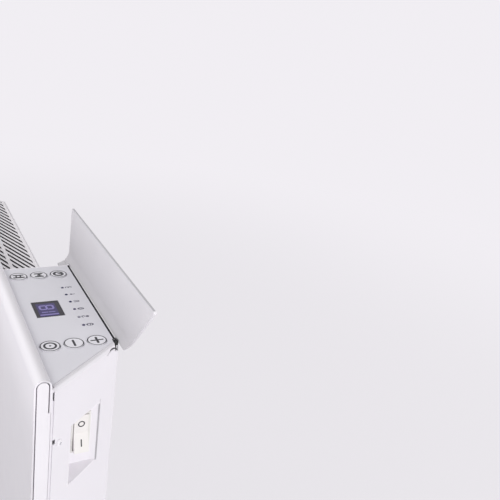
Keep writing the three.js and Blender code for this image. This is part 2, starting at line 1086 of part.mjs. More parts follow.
// Ribbon cable: a flat strip from the power board up to the control board
function ribbonCable() {
  const x0 = powerX0 + powerLength / 2 - ribbonWidth / 2;
  const y0 = powerY0 + powerWidth / 2;
  return block(
    x0,
    x0 + ribbonWidth,
    y0,
    y0 + ribbonThickness,
    powerTop + seat,
    boardTop - boardThickness - seat,
  );
}

// Lid outline in (forward, up) from the hinge axis, closed
const lidArcEnd = Math.PI / 2 + Math.asin((lidArcStart - lidTail) / lidArcRadius);
const lidArcUp = lidRise - lidArcRadius;

function lidSection(sweepEnd) {
  const from = Math.PI / 2;
  const outer = lidArcRadius + lidThickness;
  return [
    [lidLength, lidRise],
    [lidLength, lidRise + lidThickness],
    ...arc(lidArcStart, lidArcUp, outer, from, sweepEnd, 2 * arcSteps),
    ...arc(lidArcStart, lidArcUp, lidArcRadius, sweepEnd, from, 2 * arcSteps),
  ];
}

function lidBar(section, x0, x1) {
  const points = section.map(([forward, up]) => [hingeY - forward, hingeZ + up]);
  return barX(points, x0, x1);
}

// Lid: a plate that curves down behind the fascia, with a pivot ear at each end
function controlLid() {
  const farEnd = headEnd - earLength;
  const nearEnd = right + overrun;
  const plate = lidBar(lidSection(lidArcEnd), farEnd, nearEnd);
  const earSweep = Math.PI / 2 + THREE.MathUtils.degToRad(earSweepDegrees);
  const farEar = join(
    lidBar(lidSection(earSweep), farEnd, headEnd - running),
    rodX(earRadius, headEnd - running - earWidth, headEnd - running, hingeY, hingeZ, roundSides),
  );
  const nearEar = rodX(
    earRadius,
    nearEarEnd - earWidth,
    nearEarEnd,
    hingeY,
    hingeZ,
    roundSides,
  );
  const free = hingeY - lidLength;
  const rear = back + overrun;
  const plan = prism(
    rounded([
      [sideX(free) + lidOverhang, free, lidNearCorner],
      [sideX(rear) + lidOverhang, rear],
      [farEnd, rear],
      [farEnd, free, lidFarCorner],
    ]),
    bottom,
    top,
  );
  const lugSweep = lugRadius + running;
  const lugRooms = [
    rodX(lugSweep, headEnd - running, headEnd + sheet + running, hingeY, hingeZ, roundSides),
    rodX(
      lugSweep,
      nearEarEnd,
      nearLug + lugWidth / 2 + running,
      hingeY,
      hingeZ,
      roundSides,
    ),
  ];
  const pinHole = rodX(pinRadius + seat, farEnd - overrun, right, hingeY, hingeZ);
  const trimmed = cut(plate.intersect(plan), ...lugRooms);
  return cut(join(trimmed, farEar.intersect(plan), nearEar), pinHole);
}

function opened(solid) {
  return solid
    .translate([0, -hingeY, -hingeZ])
    .rotate([-lidOpenDegrees, 0, 0])
    .translate([0, hingeY, hingeZ]);
}

// Near hinge lug: a round eye on a leg that stands inside the casing's back
function hingeLug() {
  const x0 = nearLug - lugWidth / 2;
  const x1 = nearLug + lugWidth / 2;
  const legBack = rearInner - seat;
  return cut(
    join(
      rodX(lugRadius, x0, x1, hingeY, hingeZ, roundSides),
      block(x0, x1, legBack - lugLegWidth, legBack, hingeZ - lugLeg, hingeZ - pinRadius - seat),
    ),
    rodX(pinRadius + seat, x0 - overrun, x1 + overrun, hingeY, hingeZ),
  );
}

// Hinge rod: one steel rod through both lugs and both ears
function hingeRod() {
  return rodX(pinRadius, headEnd, nearLug + lugWidth / 2, hingeY, hingeZ);
}

// Switch pocket: a moulded cup let into the slanted side
function switchPocket() {
  const inside = prism(
    [
      [sideX(sideFront), sideFront],
      [sideX(back), back],
      [headEnd, back],
      [headEnd, sideFront],
    ],
    base,
    fasciaTop,
  );
  const wall = right - pocketWallAcross;
  const opening = block(
    wall - pocketSkin - overrun,
    wall + overrun,
    rockerY - switchHalfWidth - seat,
    rockerY + switchHalfWidth + seat,
    rockerZ - switchHalfHeight - seat,
    rockerZ + switchHalfHeight + seat,
  );
  return cut(pocketSpace(pocketSkin).intersect(inside), pocketSpace(0), opening);
}

const rockerY = atDepth(rockerDepth);
const rockerZ = fasciaTop - rockerDrop;
const switchHalfHeight = bezelHeight / 2 - bezelFrame / 2;
const switchHalfWidth = bezelWidth / 2 - bezelFrame / 2;
const wellHalfHeight = bezelHeight / 2 - bezelFrame;
const wellHalfWidth = bezelWidth / 2 - bezelFrame;
const bezelBack = right - pocketWallAcross + seat;
const bezelFront = bezelBack + bezelThickness;
const pivotX = bezelFront - pivotBehind;

// Rocker switch body: bezel, box with an open well, and three tabs behind
function rockerBody() {
  const bodyBack = bezelBack - switchBodyDepth;
  const well = block(
    bodyBack + switchBodyWall,
    bezelFront + overrun,
    rockerY - wellHalfWidth,
    rockerY + wellHalfWidth,
    rockerZ - wellHalfHeight,
    rockerZ + wellHalfHeight,
  );
  const bezel = block(
    bezelBack,
    bezelFront,
    rockerY - bezelWidth / 2,
    rockerY + bezelWidth / 2,
    rockerZ - bezelHeight / 2,
    rockerZ + bezelHeight / 2,
  );
  const box = block(
    bodyBack,
    bezelBack + bezelThickness / 2,
    rockerY - switchHalfWidth,
    rockerY + switchHalfWidth,
    rockerZ - switchHalfHeight,
    rockerZ + switchHalfHeight,
  );
  const tabs = [-1, 0, 1].map((step) =>
    block(
      bodyBack - tabLength,
      bodyBack + switchBodyWall / 2,
      rockerY - tabWidth / 2,
      rockerY + tabWidth / 2,
      rockerZ + step * tabPitch - tabThickness / 2,
      rockerZ + step * tabPitch + tabThickness / 2,
    ),
  );
  return join(cut(join(bezel, box), well), ...tabs);
}

// Rocker paddle: a shallow V across its front, tilted so its upper half is pressed
function rockerPaddle() {
  const tilt = THREE.MathUtils.degToRad(rockerTiltDegrees);
  const crest = paddleProud + pivotBehind;
  const tip = crest + paddleHalf * Math.tan(tilt);
  const halfWidth = wellHalfWidth - running;
  const outline = [
    [crest, 0],
    [tip, paddleHalf],
    [0, paddleHalf],
    [-paddleReach, paddleHalf / 2],
    [-paddleReach - paddleReach, 0],
    [-paddleReach, -paddleHalf / 2],
    [0, -paddleHalf],
    [tip, -paddleHalf],
  ];
  return barY(outline, -halfWidth, halfWidth)
    .rotate([0, -rockerTiltDegrees, 0])
    .translate([pivotX, rockerY, rockerZ]);
}

const elementX0 = elementLeftMargin - right;
const elementX1 = partition - elementRightMargin;
const elementY = (sideFront + rearInner) / 2;
const elementZ = base + elementRise;
const leadHoleZ = elementZ + elementRise;

// Heating element: an aluminium body with fins above and below its core
function elementBody() {
  const core = rodX(elementCore, elementX0, elementX1, elementY, elementZ, roundSides);
  const web = block(
    elementX0,
    elementX1,
    elementY - elementFinReach,
    elementY + elementFinReach,
    elementZ - elementFin,
    elementZ + elementFin,
  );
  const finCount = Math.floor(elementFinReach / elementFinPitch);
  const fins = Array.from({ length: 2 * finCount + 1 }, (_, i) => {
    const y = elementY + (i - finCount) * elementFinPitch;
    return block(
      elementX0,
      elementX1,
      y - elementFin / 2,
      y + elementFin / 2,
      elementZ - elementFinReach,
      elementZ + elementFinReach,
    );
  });
  const bore = rodX(
    sheathRadius + seat,
    elementX0 - overrun,
    elementX1 + overrun,
    elementY,
    elementZ,
    roundSides,
  );
  return cut(join(core, web, ...fins), bore);
}

function elementSheath() {
  return join(
    rodX(
      sheathRadius,
      elementX0 - sheathReach,
      elementX1 + sheathReach,
      elementY,
      elementZ,
      roundSides,
    ),
    rodX(
      terminalRadius,
      elementX0 - sheathReach - terminalReach,
      elementX1 + sheathReach + terminalReach,
      elementY,
      elementZ,
    ),
  );
}

// Element bracket: a sheet upright with a foot on the casing's back
function elementBracket(x) {
  const y1 = rearInner - seat;
  const upright = block(
    x - sheet / 2,
    x + sheet / 2,
    elementY - bracketWidth / 2,
    y1,
    elementZ - bracketWidth / 2,
    elementZ + bracketWidth / 2,
  );
  const foot = block(
    x - sheet / 2,
    x + bracketFoot,
    y1 - sheet,
    y1,
    elementZ - bracketWidth / 2,
    elementZ + bracketWidth / 2,
  );
  const hole = rodX(
    bushRadius - bushLength / 2 + seat,
    x - overrun,
    x + overrun,
    elementY,
    elementZ,
    roundSides,
  );
  return cut(join(upright, foot), hole);
}

// Bush: a ceramic spool whose neck sits in the bracket and whose bore holds the sheath
function elementBush(x) {
  const neck = rodX(
    bushRadius - bushLength / 2,
    x - bushLength / 2,
    x + bushLength / 2,
    elementY,
    elementZ,
    roundSides,
  );
  const collar = rodX(
    bushRadius,
    x + sheet / 2 + seat,
    x + bushLength / 2,
    elementY,
    elementZ,
    roundSides,
  );
  const bore = rodX(
    sheathRadius + seat,
    x - bushLength,
    x + bushLength,
    elementY,
    elementZ,
    roundSides,
  );
  return cut(join(neck, collar), bore);
}

const shieldY = sideFront + sheet + seat;

// Radiation shield: a thin sheet with its top and bottom edges folded back
function radiationShield() {
  const z0 = base + grilleFlange + shieldMargin;
  const z1 = grilleTop - grilleFlange - shieldMargin;
  const y1 = shieldY + shieldFold;
  return barX(
    [
      [shieldY, z0],
      [y1, z0],
      [y1, z0 + thinSheet],
      [shieldY + thinSheet, z0 + thinSheet],
      [shieldY + thinSheet, z1 - thinSheet],
      [y1, z1 - thinSheet],
      [y1, z1],
      [shieldY, z1],
    ],
    flangeWidth - right - shieldOverlap,
    partition - sheet - seat,
  );
}

// Thermal cut-out: a disc thermostat on a two-eared plate, fixed to the shield
function thermalCutout() {
  const x = right - cutoutAcross;
  const z = base + cutoutRise;
  const y0 = shieldY + thinSheet + seat;
  const plate = block(
    x - cutoutEar,
    x + cutoutEar,
    y0,
    y0 + thinSheet,
    z - cutoutRadius / 2,
    z + cutoutRadius / 2,
  );
  return join(plate, rodY(cutoutRadius, y0, y0 + cutoutHeight, x, z, roundSides));
}

// Room sensor: a bulb on a block beside the inlet
function roomSensor() {
  const x = right - sensorAcross - sensorBlock;
  const y = shieldY + sensorBlock;
  const z0 = base + sheet + seat;
  return join(
    block(
      x - sensorBlock / 2,
      x + sensorBlock / 2,
      y - sensorBlock / 2,
      y + sensorBlock / 2,
      z0,
      z0 + sensorBlock,
    ),
    rodZ(sensorBulbRadius, z0 + sensorBlock / 2, z0 + sensorBulbLength, x, y),
  );
}

const terminalZ = base + blockRise;
const terminalY = glandY + blockWidth / 4;

function terminalBlock() {
  const x0 = partition + seat;
  const body = block(
    x0,
    x0 + blockDepth,
    terminalY - blockWidth / 2,
    terminalY + blockWidth / 2,
    terminalZ,
    terminalZ + blockLength,
  );
  const poles = [-1, 0, 1].map((step) =>
    rodX(
      blockPoleRadius,
      x0 + blockDepth / 2,
      x0 + blockDepth + overrun,
      terminalY + (step * blockWidth) / 3,
      terminalZ + blockLength / 2,
    ),
  );
  return cut(body, ...poles);
}

// Cable gland: threaded neck, hexagon above and below the floor, domed nut and bore
function cableGland() {
  const nutTop = base - seat;
  const innerNut = base + sheet + seat;
  return cut(
    join(
      rodZ(glandThread, nutTop - glandNutHeight, innerNut + glandNutHeight, glandX, glandY, roundSides),
      rodZ(glandNut, innerNut, innerNut + glandNutHeight, glandX, glandY, hexSides),
      rodZ(glandNut, nutTop - glandNutHeight, nutTop, glandX, glandY, hexSides),
    ),
    rodZ(glandBore, nutTop - glandNutHeight - overrun, innerNut + glandNutHeight + overrun, glandX, glandY),
  );
}

function earthScrew() {
  const x = right - earthAcross;
  const z = base + earthRise;
  const y1 = rearInner - seat;
  return join(
    rodY(earthHeadRadius, y1 - earthShank - earthHeadHeight, y1 - earthShank, x, z, hexSides),
    rodY(earthShankRadius, y1 - earthShank - earthHeadHeight / 2, y1, x, z),
  );
}

// Internal leads, each fixed along its whole route
const switchBack = bezelBack - switchBodyDepth;
const tabX = switchBack - tabLength / 2;
const postX = partition + leadPost;
const boardEntryX = powerX1 - carrierBar / 2;
const boardEntryZ = powerTop + seat;
const leadLoopZ = boardEntryZ + leadLoop;
const supplyY = terminalY + blockWidth / 3;

function leadSupply() {
  const z = terminalZ + blockLength / 2;
  return wire(
    [
      [partition + blockDepth - running, supplyY, z],
      [postX + leadLoop, supplyY, z],
      [postX + 2 * leadLoop, supplyY - leadRadius, z + leadLoop],
      [tabX, rockerY, z + leadTravel],
      [tabX, rockerY, rockerZ - 2 * tabPitch],
      [tabX, rockerY, rockerZ - tabPitch - tabThickness],
    ],
    leadRadius,
    leadSteps,
  );
}

function leadSwitched() {
  const z = rockerZ + tabPitch + tabThickness;
  return wire(
    [
      [tabX, rockerY, z],
      [tabX, rockerY, z + tabPitch],
      [tabX - leadLoop, rockerY, leadLoopZ + leadRadius],
      [boardEntryX + leadLoop, rockerY, leadLoopZ + leadRadius],
      [boardEntryX, rockerY, leadLoopZ - leadRadius],
      [boardEntryX, rockerY, boardEntryZ],
    ],
    leadRadius,
    leadSteps,
  );
}

function leadElement() {
  const y = rockerY - 2 * leadRadius - running;
  const endX = elementX1 + sheathReach + terminalReach + seat + running;
  return wire(
    [
      [boardEntryX, y, boardEntryZ],
      [boardEntryX, y, leadLoopZ - leadRadius],
      [boardEntryX + leadLoop, y, leadLoopZ],
      [postX, y, leadLoopZ - leadLoop],
      [postX, y, elementZ + leadTravel],
      [postX, y, leadHoleZ + leadLoop],
      [partition, y, leadHoleZ],
      [partition - leadLoop, y, leadHoleZ - leadLoop],
      [endX + leadLoop / 2, elementY, elementZ + leadLoop],
      [endX + leadLoop / 2, elementY, elementZ + leadRadius],
      [endX, elementY, elementZ],
    ],
    leadRadius,
    leadSteps,
  );
}

function leadReturn() {
  const y = elementY + leadRadius + seat;
  const endX = elementX0 - sheathReach - terminalReach - seat - running;
  const high = leadHoleZ - leadLoop;
  const behind = elementY + leadLoop;
  return wire(
    [
      [endX, elementY, elementZ],
      [endX - leadLoop / 2, elementY, elementZ + leadRadius],
      [endX - leadLoop / 2, elementY, elementZ + leadLoop],
      [endX + leadLoop, behind, high],
      [-leadTravel, behind, high],
      [leadTravel, behind, high],
      [partition - leadLoop, y, leadHoleZ - leadRadius],
      [partition, y, leadHoleZ],
      [postX, behind, leadHoleZ + leadLoop],
      [postX, behind, leadHoleZ + leadTravel],
      [postX, behind, leadLoopZ - leadLoop],
      [boardEntryX + leadLoop, behind, leadLoopZ],
      [boardEntryX, behind, leadLoopZ - leadRadius],
      [boardEntryX, behind, boardEntryZ],
    ],
    leadRadius,
    2 * leadSteps,
  );
}

// Wall bracket: two straps and three rails in one plate, with two upturned hooks
function wallBracket() {
  const half = railSpan / 2;
  const straps = [-1, 1].map((side) =>
    block(
      (side * strapSpan) / 2 - strapWidth / 2,
      (side * strapSpan) / 2 + strapWidth / 2,
      -bracketSheet,
      0,
      -half - railHeight / 2,
      half + railHeight / 2,
    ),
  );
  const rails = [-half, 0, half].map((z) =>
    block(
      -strapSpan / 2,
      strapSpan / 2,
      -bracketSheet,
      0,
      z - railHeight / 2,
      z + railHeight / 2,
    ),
  );
  const lipY = rearInner - hookPlay;
  const hooks = [-1, 1].map((side) => {
    const x0 = (side * hookSpan) / 2 - hookWidth / 2;
    const x1 = x0 + hookWidth;
    return join(
      block(x0, x1, lipY - bracketSheet, 0, hookZ, hookZ + bracketSheet),
      block(x0, x1, lipY - bracketSheet, lipY, hookZ, hookZ + hookLip),
    );
  });
  const holes = [-1, 1].flatMap((side) =>
    [-half, half].map((z) =>
      rodY(
        wallHoleRadius,
        -bracketSheet - overrun,
        overrun,
        (side * strapSpan) / 2,
        z,
        roundSides,
      ),
    ),
  );
  return cut(join(...straps, ...rails, ...hooks), ...holes);
}

function wallSpacer(x) {
  return rodY(spacerRadius, back + seat, 0, x, base + spacerRise, roundSides);
}

// Dome-headed screw along +X: its head rests on the plane x = 0
function caseScrew() {
  const dome = arc(0, 0, screwHeadRadius, 0, Math.PI / 2).map(([r, h]) => [
    r,
    seat / 2 + (h * screwHeadHeight) / screwHeadRadius,
  ]);
  const profile = [
    [0, -screwShank],
    [screwShankRadius, -screwShank],
    [screwShankRadius, seat / 2],
    ...dome,
  ].map(([r, h]) => new THREE.Vector2(r, h));
  profile[profile.length - 1].x = 0;
  return asSolid(new THREE.LatheGeometry(profile, smallSides).rotateZ(-Math.PI / 2));
}

// Assembly
place("front_panel", frontPanel(), paint);
place("end_cap_right", endCap(), creamPlastic);
place("end_cap_left", mirrored(endCap()), creamPlastic);
place("rear_casing", rearCasing(), housingPaint);
place("top_grille", topGrille(), paint);
place("bottom_grille", bottomGrille(), zincSheet);
place("control_tray", controlTray(), housingPaint);
place("control_fascia", controlFascia(), fasciaGrey);
place("display_window", displayWindow(), glass);
place("display_module", displayModule(), lcdBlue);
place("control_board", controlBoard(), boardGreen);
place("light_pipe", lightPipe(), lightBlue);
for (const spot of keyPlaces) {
  place(spot.name, key(spot), keyWhite);
  place(spot.name.replace("button", "tact"), tactSwitch(spot), blackPlastic);
}
place("board_carrier", boardCarrier(), whitePlastic);
place("power_board", powerBoard(), boardGreen);
place("power_relay", powerRelay(), blackPlastic);
place("heat_sink", heatSink(), aluminium);
place("ribbon_cable", ribbonCable(), wireGrey);
place("switch_pocket", switchPocket(), creamPlastic);
place("rocker_body", rockerBody(), whitePlastic);
place("rocker_paddle", rockerPaddle(), creamPlastic);
place("control_lid", opened(controlLid()), fasciaGrey);
place("hinge_lug", hingeLug(), steel);
place("hinge_rod", hingeRod(), steel);
place("element_body", elementBody(), aluminium);
place("element_sheath", elementSheath(), steel);
const supportXs = [
  ["left", elementX0 - supportOffset],
  ["right", elementX1 + supportOffset],
];
for (const [side, x] of supportXs) {
  place(`element_bracket_${side}`, elementBracket(x), zincSheet);
  place(`element_bush_${side}`, elementBush(x), ceramic);
}
place("radiation_shield", radiationShield(), aluminium);
place("thermal_cutout", thermalCutout(), zincSheet);
place("room_sensor", roomSensor(), whitePlastic);
place("terminal_block", terminalBlock(), whitePlastic);
place("cable_gland", cableGland(), blackPlastic);
place("earth_screw", earthScrew(), steel);
place("lead_supply", leadSupply(), copper);
place("lead_switched", leadSwitched(), wireGrey);
place("lead_element", leadElement(), wireGrey);
place("lead_return", leadReturn(), wireGrey);
place("wall_bracket", wallBracket(), zincSheet);
place("wall_spacer_left", wallSpacer(spacerInset - right), rubber);
place("wall_spacer_right", wallSpacer(right - spacerInset), rubber);
const screwHeights = [
  ["high", screwHigh],
  ["low", screwLow],
];
for (const [level, z] of screwHeights) {
  const screw = onSide(caseScrew(), screwY, z);
  place(`case_screw_right_${level}`, screw, steel);
}
for (const [level, z] of [["high", leftScrewHigh], ["low", screwLow]]) {
  const screw = mirrored(onSide(caseScrew(), screwY, z));
  place(`case_screw_left_${level}`, screw, steel);
}

export default heater;
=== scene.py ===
"""Looks of the convector panel heater: materials, printed marks, soft edges, light and camera."""
import json
import math

import bmesh
import bpy
from mathutils import Matrix, Vector


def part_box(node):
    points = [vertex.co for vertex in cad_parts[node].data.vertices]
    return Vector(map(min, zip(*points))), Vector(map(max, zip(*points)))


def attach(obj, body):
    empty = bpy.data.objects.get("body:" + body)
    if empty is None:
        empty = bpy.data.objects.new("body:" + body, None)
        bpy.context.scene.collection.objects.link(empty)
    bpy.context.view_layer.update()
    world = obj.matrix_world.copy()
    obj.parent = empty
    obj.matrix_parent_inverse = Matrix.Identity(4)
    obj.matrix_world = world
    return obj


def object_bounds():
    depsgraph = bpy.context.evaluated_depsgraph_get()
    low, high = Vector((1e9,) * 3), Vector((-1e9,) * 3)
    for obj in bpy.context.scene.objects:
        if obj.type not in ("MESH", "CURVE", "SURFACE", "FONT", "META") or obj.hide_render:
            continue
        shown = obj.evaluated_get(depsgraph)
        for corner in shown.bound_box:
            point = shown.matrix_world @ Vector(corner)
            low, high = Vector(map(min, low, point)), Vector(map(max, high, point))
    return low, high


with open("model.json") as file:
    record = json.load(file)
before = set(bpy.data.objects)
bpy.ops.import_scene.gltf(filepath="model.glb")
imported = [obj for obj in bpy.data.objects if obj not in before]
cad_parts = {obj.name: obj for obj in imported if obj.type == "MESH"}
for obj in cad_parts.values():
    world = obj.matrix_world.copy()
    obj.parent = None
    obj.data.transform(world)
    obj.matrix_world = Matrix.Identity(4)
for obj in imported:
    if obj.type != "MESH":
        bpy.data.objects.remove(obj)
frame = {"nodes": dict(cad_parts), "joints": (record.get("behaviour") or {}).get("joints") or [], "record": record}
cad_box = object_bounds()
nodes = frame["nodes"]

# Named sizes are in millimetres unless their comment says metres
MM = 0.001


def joint_place(name):
    """A point on the joint's axis, in metres."""
    joint = next(j for j in frame["joints"] if j["name"] == name)
    return Vector(joint["pos_m"])


def box(node):
    """Lowest corner, highest corner and middle of a node, in metres."""
    low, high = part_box(node)
    return low, high, (low + high) / 2


# Camera: the close-up's place and angle, found by fitting corners and keys
CAMERA_PLACE = (688.12, -166.32, 468.13)
CAMERA_TURN_DEGREES = (57.398, 20.614, 9.186)
FOCAL_PIXELS = 615.76
IMAGE_PIXELS = 500
SENSOR_WIDTH = 36
NEAREST_METRES = 0.01


def set_camera():
    azimuth, pitch, roll = (math.radians(a) for a in CAMERA_TURN_DEGREES)
    forward = Vector((
        -math.sin(azimuth) * math.cos(pitch),
        math.cos(azimuth) * math.cos(pitch),
        -math.sin(pitch),
    ))
    level = Vector((math.cos(azimuth), math.sin(azimuth), 0))
    upright = level.cross(forward)
    side = math.cos(roll) * level + math.sin(roll) * upright
    up = -math.sin(roll) * level + math.cos(roll) * upright
    turn = Matrix((side, up, -forward)).transposed().to_4x4()
    data = bpy.data.cameras.new("camera")
    data.sensor_width = SENSOR_WIDTH
    data.lens = SENSOR_WIDTH * (FOCAL_PIXELS / IMAGE_PIXELS)
    data.clip_start = NEAREST_METRES
    camera = bpy.data.objects.new("camera", data)
    camera.matrix_world = Matrix.Translation(Vector(CAMERA_PLACE) * MM) @ turn
    bpy.context.scene.collection.objects.link(camera)
    bpy.context.scene.camera = camera


set_camera()


# Materials
class Surface:
    """A node material round one Principled shader, in the model's own metres."""

    RAMP_START = 0.3
    RAMP_END = 0.7

    def __init__(self, name, color, roughness, metallic=0.0, coat=0.0):
        self.material = bpy.data.materials.new(name)
        self.material.use_nodes = True
        self.tree = self.material.node_tree
        self.shader = self.tree.nodes["Principled BSDF"]
        self.shader.inputs["Base Color"].default_value = (*color, 1)
        self.shader.inputs["Roughness"].default_value = roughness
        self.shader.inputs["Metallic"].default_value = metallic
        self.shader.inputs["Coat Weight"].default_value = coat
        self.color = color
        self.place = self.node("ShaderNodeTexCoord").outputs["Object"]
        self.height = None

    def node(self, kind, **values):
        made = self.tree.nodes.new(kind)
        for key, value in values.items():
            if key in made.inputs:
                made.inputs[key].default_value = value
            else:
                setattr(made, key, value)
        return made

    def link(self, source, target):
        self.tree.links.new(source, target)

    def noise(self, scale, detail, stretch=None):
        texture = self.node("ShaderNodeTexNoise", Scale=scale, Detail=detail)
        place = self.place
        if stretch is not None:
            mapping = self.node("ShaderNodeMapping", Scale=stretch)
            self.link(place, mapping.inputs["Vector"])
            place = mapping.outputs["Vector"]
        self.link(place, texture.inputs["Vector"])
        return texture.outputs["Fac"]

    def ramp(self, factor, low, high):
        """Runs from one colour to another over the middle of the factor's range."""
        ramp = self.node("ShaderNodeValToRGB")
        ramp.color_ramp.elements[0].position = self.RAMP_START
        ramp.color_ramp.elements[1].position = self.RAMP_END
        ramp.color_ramp.elements[0].color = low
        ramp.color_ramp.elements[1].color = high
        self.link(factor, ramp.inputs["Fac"])
        return ramp.outputs["Color"]

    def tone(self, factor, spread, tint=(1.0, 1.0, 1.0)):
        """Lets the colour drift by a small share over the surface."""
        low = tuple(c * (1 - spread) * t for c, t in zip(self.color, tint))
        high = tuple(min(1.0, c * (1 + spread)) for c in self.color)
        color = self.ramp(factor, (*low, 1), (*high, 1))
        self.link(color, self.shader.inputs["Base Color"])

    def fade(self, axis, stops):
        """Painted shade and painted highlight: scales the colour along one axis, through (metres, share) stops."""
        first, last = stops[0][0], stops[-1][0]
        axes = self.node("ShaderNodeSeparateXYZ")
        self.link(self.place, axes.inputs[0])
        span = self.node("ShaderNodeMapRange")
        span.inputs["From Min"].default_value = first
        span.inputs["From Max"].default_value = last
        self.link(axes.outputs[axis], span.inputs["Value"])
        # The ramp holds half of each share, and the next node doubles it, so shares over 1 fit
        ramp = self.node("ShaderNodeValToRGB")
        ramp.color_ramp.interpolation = "B_SPLINE"
        marks = ramp.color_ramp.elements
        while len(marks) < len(stops):
            marks.new(0.5)
        for mark, (place, share) in zip(marks, stops):
            mark.position = (place - first) / (last - first)
            mark.color = (share / 2, share / 2, share / 2, 1)
        self.link(span.outputs["Result"], ramp.inputs["Fac"])
        twice = self.node("ShaderNodeMath", operation="MULTIPLY")
        self.link(ramp.outputs["Color"], twice.inputs[0])
        twice.inputs[1].default_value = 2.0
        scaled = self.node("ShaderNodeVectorMath", operation="SCALE")
        color = self.shader.inputs["Base Color"]
        self.link(color.links[0].from_socket, scaled.inputs[0])
        self.link(twice.outputs[0], scaled.inputs["Scale"])
        self.link(scaled.outputs[0], color)

    def gloss(self, factor, low, high):
        color = self.ramp(factor, (low, low, low, 1), (high, high, high, 1))
        self.link(color, self.shader.inputs["Roughness"])

    def bump(self, factor, depth, strength):
        """Adds relief, with its depth in metres, on top of any that is there."""
        bump = self.node("ShaderNodeBump", Strength=strength, Distance=depth)
        self.link(factor, bump.inputs["Height"])
        if self.height is not None:
            self.link(self.height, bump.inputs["Normal"])
        self.height = bump.outputs["Normal"]
        self.link(self.height, self.shader.inputs["Normal"])


def powder_coat(name, color, roughness, fades=()):
    """Sprayed powder paint: fine orange peel, a slow drift of tone and gloss, and the painted shade of any fades.
    """
    made = Surface(name, color, roughness, coat=0.08)
    made.shader.inputs["Coat Roughness"].default_value = 0.25
    made.tone(made.noise(scale=9, detail=2), spread=0.012, tint=(1.0, 1.0, 1.004))
    for axis, stops in fades:
        made.fade(axis, stops)
    made.gloss(made.noise(scale=60, detail=3), low=roughness - 0.05, high=roughness + 0.05)
    made.bump(made.noise(scale=1500, detail=2), depth=0.00003, strength=0.5)
    made.bump(made.noise(scale=350, detail=1), depth=0.00005, strength=0.25)
    return made.material


def moulding(name, color, roughness, grain=2600, fades=()):
    """Spark-eroded plastic: a fine even grain with a faint flow of tone, and the painted shade of any fades."""
    made = Surface(name, color, roughness)
    made.tone(made.noise(scale=22, detail=2), spread=0.015)
    for axis, stops in fades:
        made.fade(axis, stops)
    made.gloss(made.noise(scale=180, detail=2), low=roughness - 0.04, high=roughness + 0.06)
    made.bump(made.noise(scale=grain, detail=2), depth=0.00003, strength=0.45)
    return made.material


def smoked(name, color, roughness):
    """Dark clear plastic that reflects little."""
    made = Surface(name, color, roughness)
    made.shader.inputs["Specular IOR Level"].default_value = 0.2
    made.tone(made.noise(scale=40, detail=2), spread=0.04)
    made.gloss(made.noise(scale=420, detail=2), low=roughness, high=roughness + 0.05)
    return made.material


def lit(name, color, strength):
    """A backlit face: its own colour with a little light of its own."""
    made = Surface(name, color, roughness=0.3, coat=0.05)
    made.shader.inputs["Specular IOR Level"].default_value = 0.2
    made.tone(made.noise(scale=260, detail=2), spread=0.06)
    made.shader.inputs["Emission Color"].default_value = (*color, 1)
    made.shader.inputs["Emission Strength"].default_value = strength
    return made.material


def brushed(name, color, roughness, stretch):
    """Drawn or brushed metal: streaks along one axis."""
    made = Surface(name, color, roughness, metallic=1.0)
    streaks = made.noise(scale=900, detail=3, stretch=stretch)
    made.tone(made.noise(scale=30, detail=3), spread=0.05)
    made.gloss(streaks, low=roughness - 0.08, high=roughness + 0.12)
    made.bump(streaks, depth=0.00002, strength=0.35)
    return made.material


def zinc(name, color):
    """Zinc coated sheet: soft crystals in tone and gloss."""
    made = Surface(name, color, roughness=0.42, metallic=0.9)
    cells = made.node("ShaderNodeTexVoronoi", Scale=170.0)
    made.link(made.place, cells.inputs["Vector"])
    made.tone(cells.outputs["Color"], spread=0.07)
    made.gloss(cells.outputs["Distance"], low=0.32, high=0.52)
    made.bump(made.noise(scale=1100, detail=2), depth=0.00002, strength=0.3)
    return made.material


def solder_mask(name, color):
    """Green lacquer over copper tracks."""
    made = Surface(name, color, roughness=0.35, coat=0.4)
    tracks = made.node("ShaderNodeTexBrick", Scale=160.0)
    tracks.inputs["Mortar Size"].default_value = 0.06
    made.link(made.place, tracks.inputs["Vector"])
    made.tone(tracks.outputs["Fac"], spread=0.25)
    made.bump(tracks.outputs["Fac"], depth=0.00004, strength=0.5)
    return made.material


def fired(name, color):
    """Unglazed ceramic: chalky, with small specks."""
    made = Surface(name, color, roughness=0.75)
    made.tone(made.noise(scale=900, detail=4), spread=0.08)
    made.bump(made.noise(scale=1800, detail=3), depth=0.00004, strength=0.5)
    return made.material


def rubbery(name, color):
    """Soft rubber or lead sleeve: matt, with a fine uneven skin."""
    made = Surface(name, color, roughness=0.7)
    made.tone(made.noise(scale=140, detail=3), spread=0.1)
    made.bump(made.noise(scale=1200, detail=3), depth=0.00004, strength=0.5)
    return made.material


def ink(name, color):
    """Printed marks, and marks of painted shade: slightly uneven cover."""
    made = Surface(name, color, roughness=0.5)
    made.tone(made.noise(scale=2500, detail=2), spread=0.12)
    return made.material


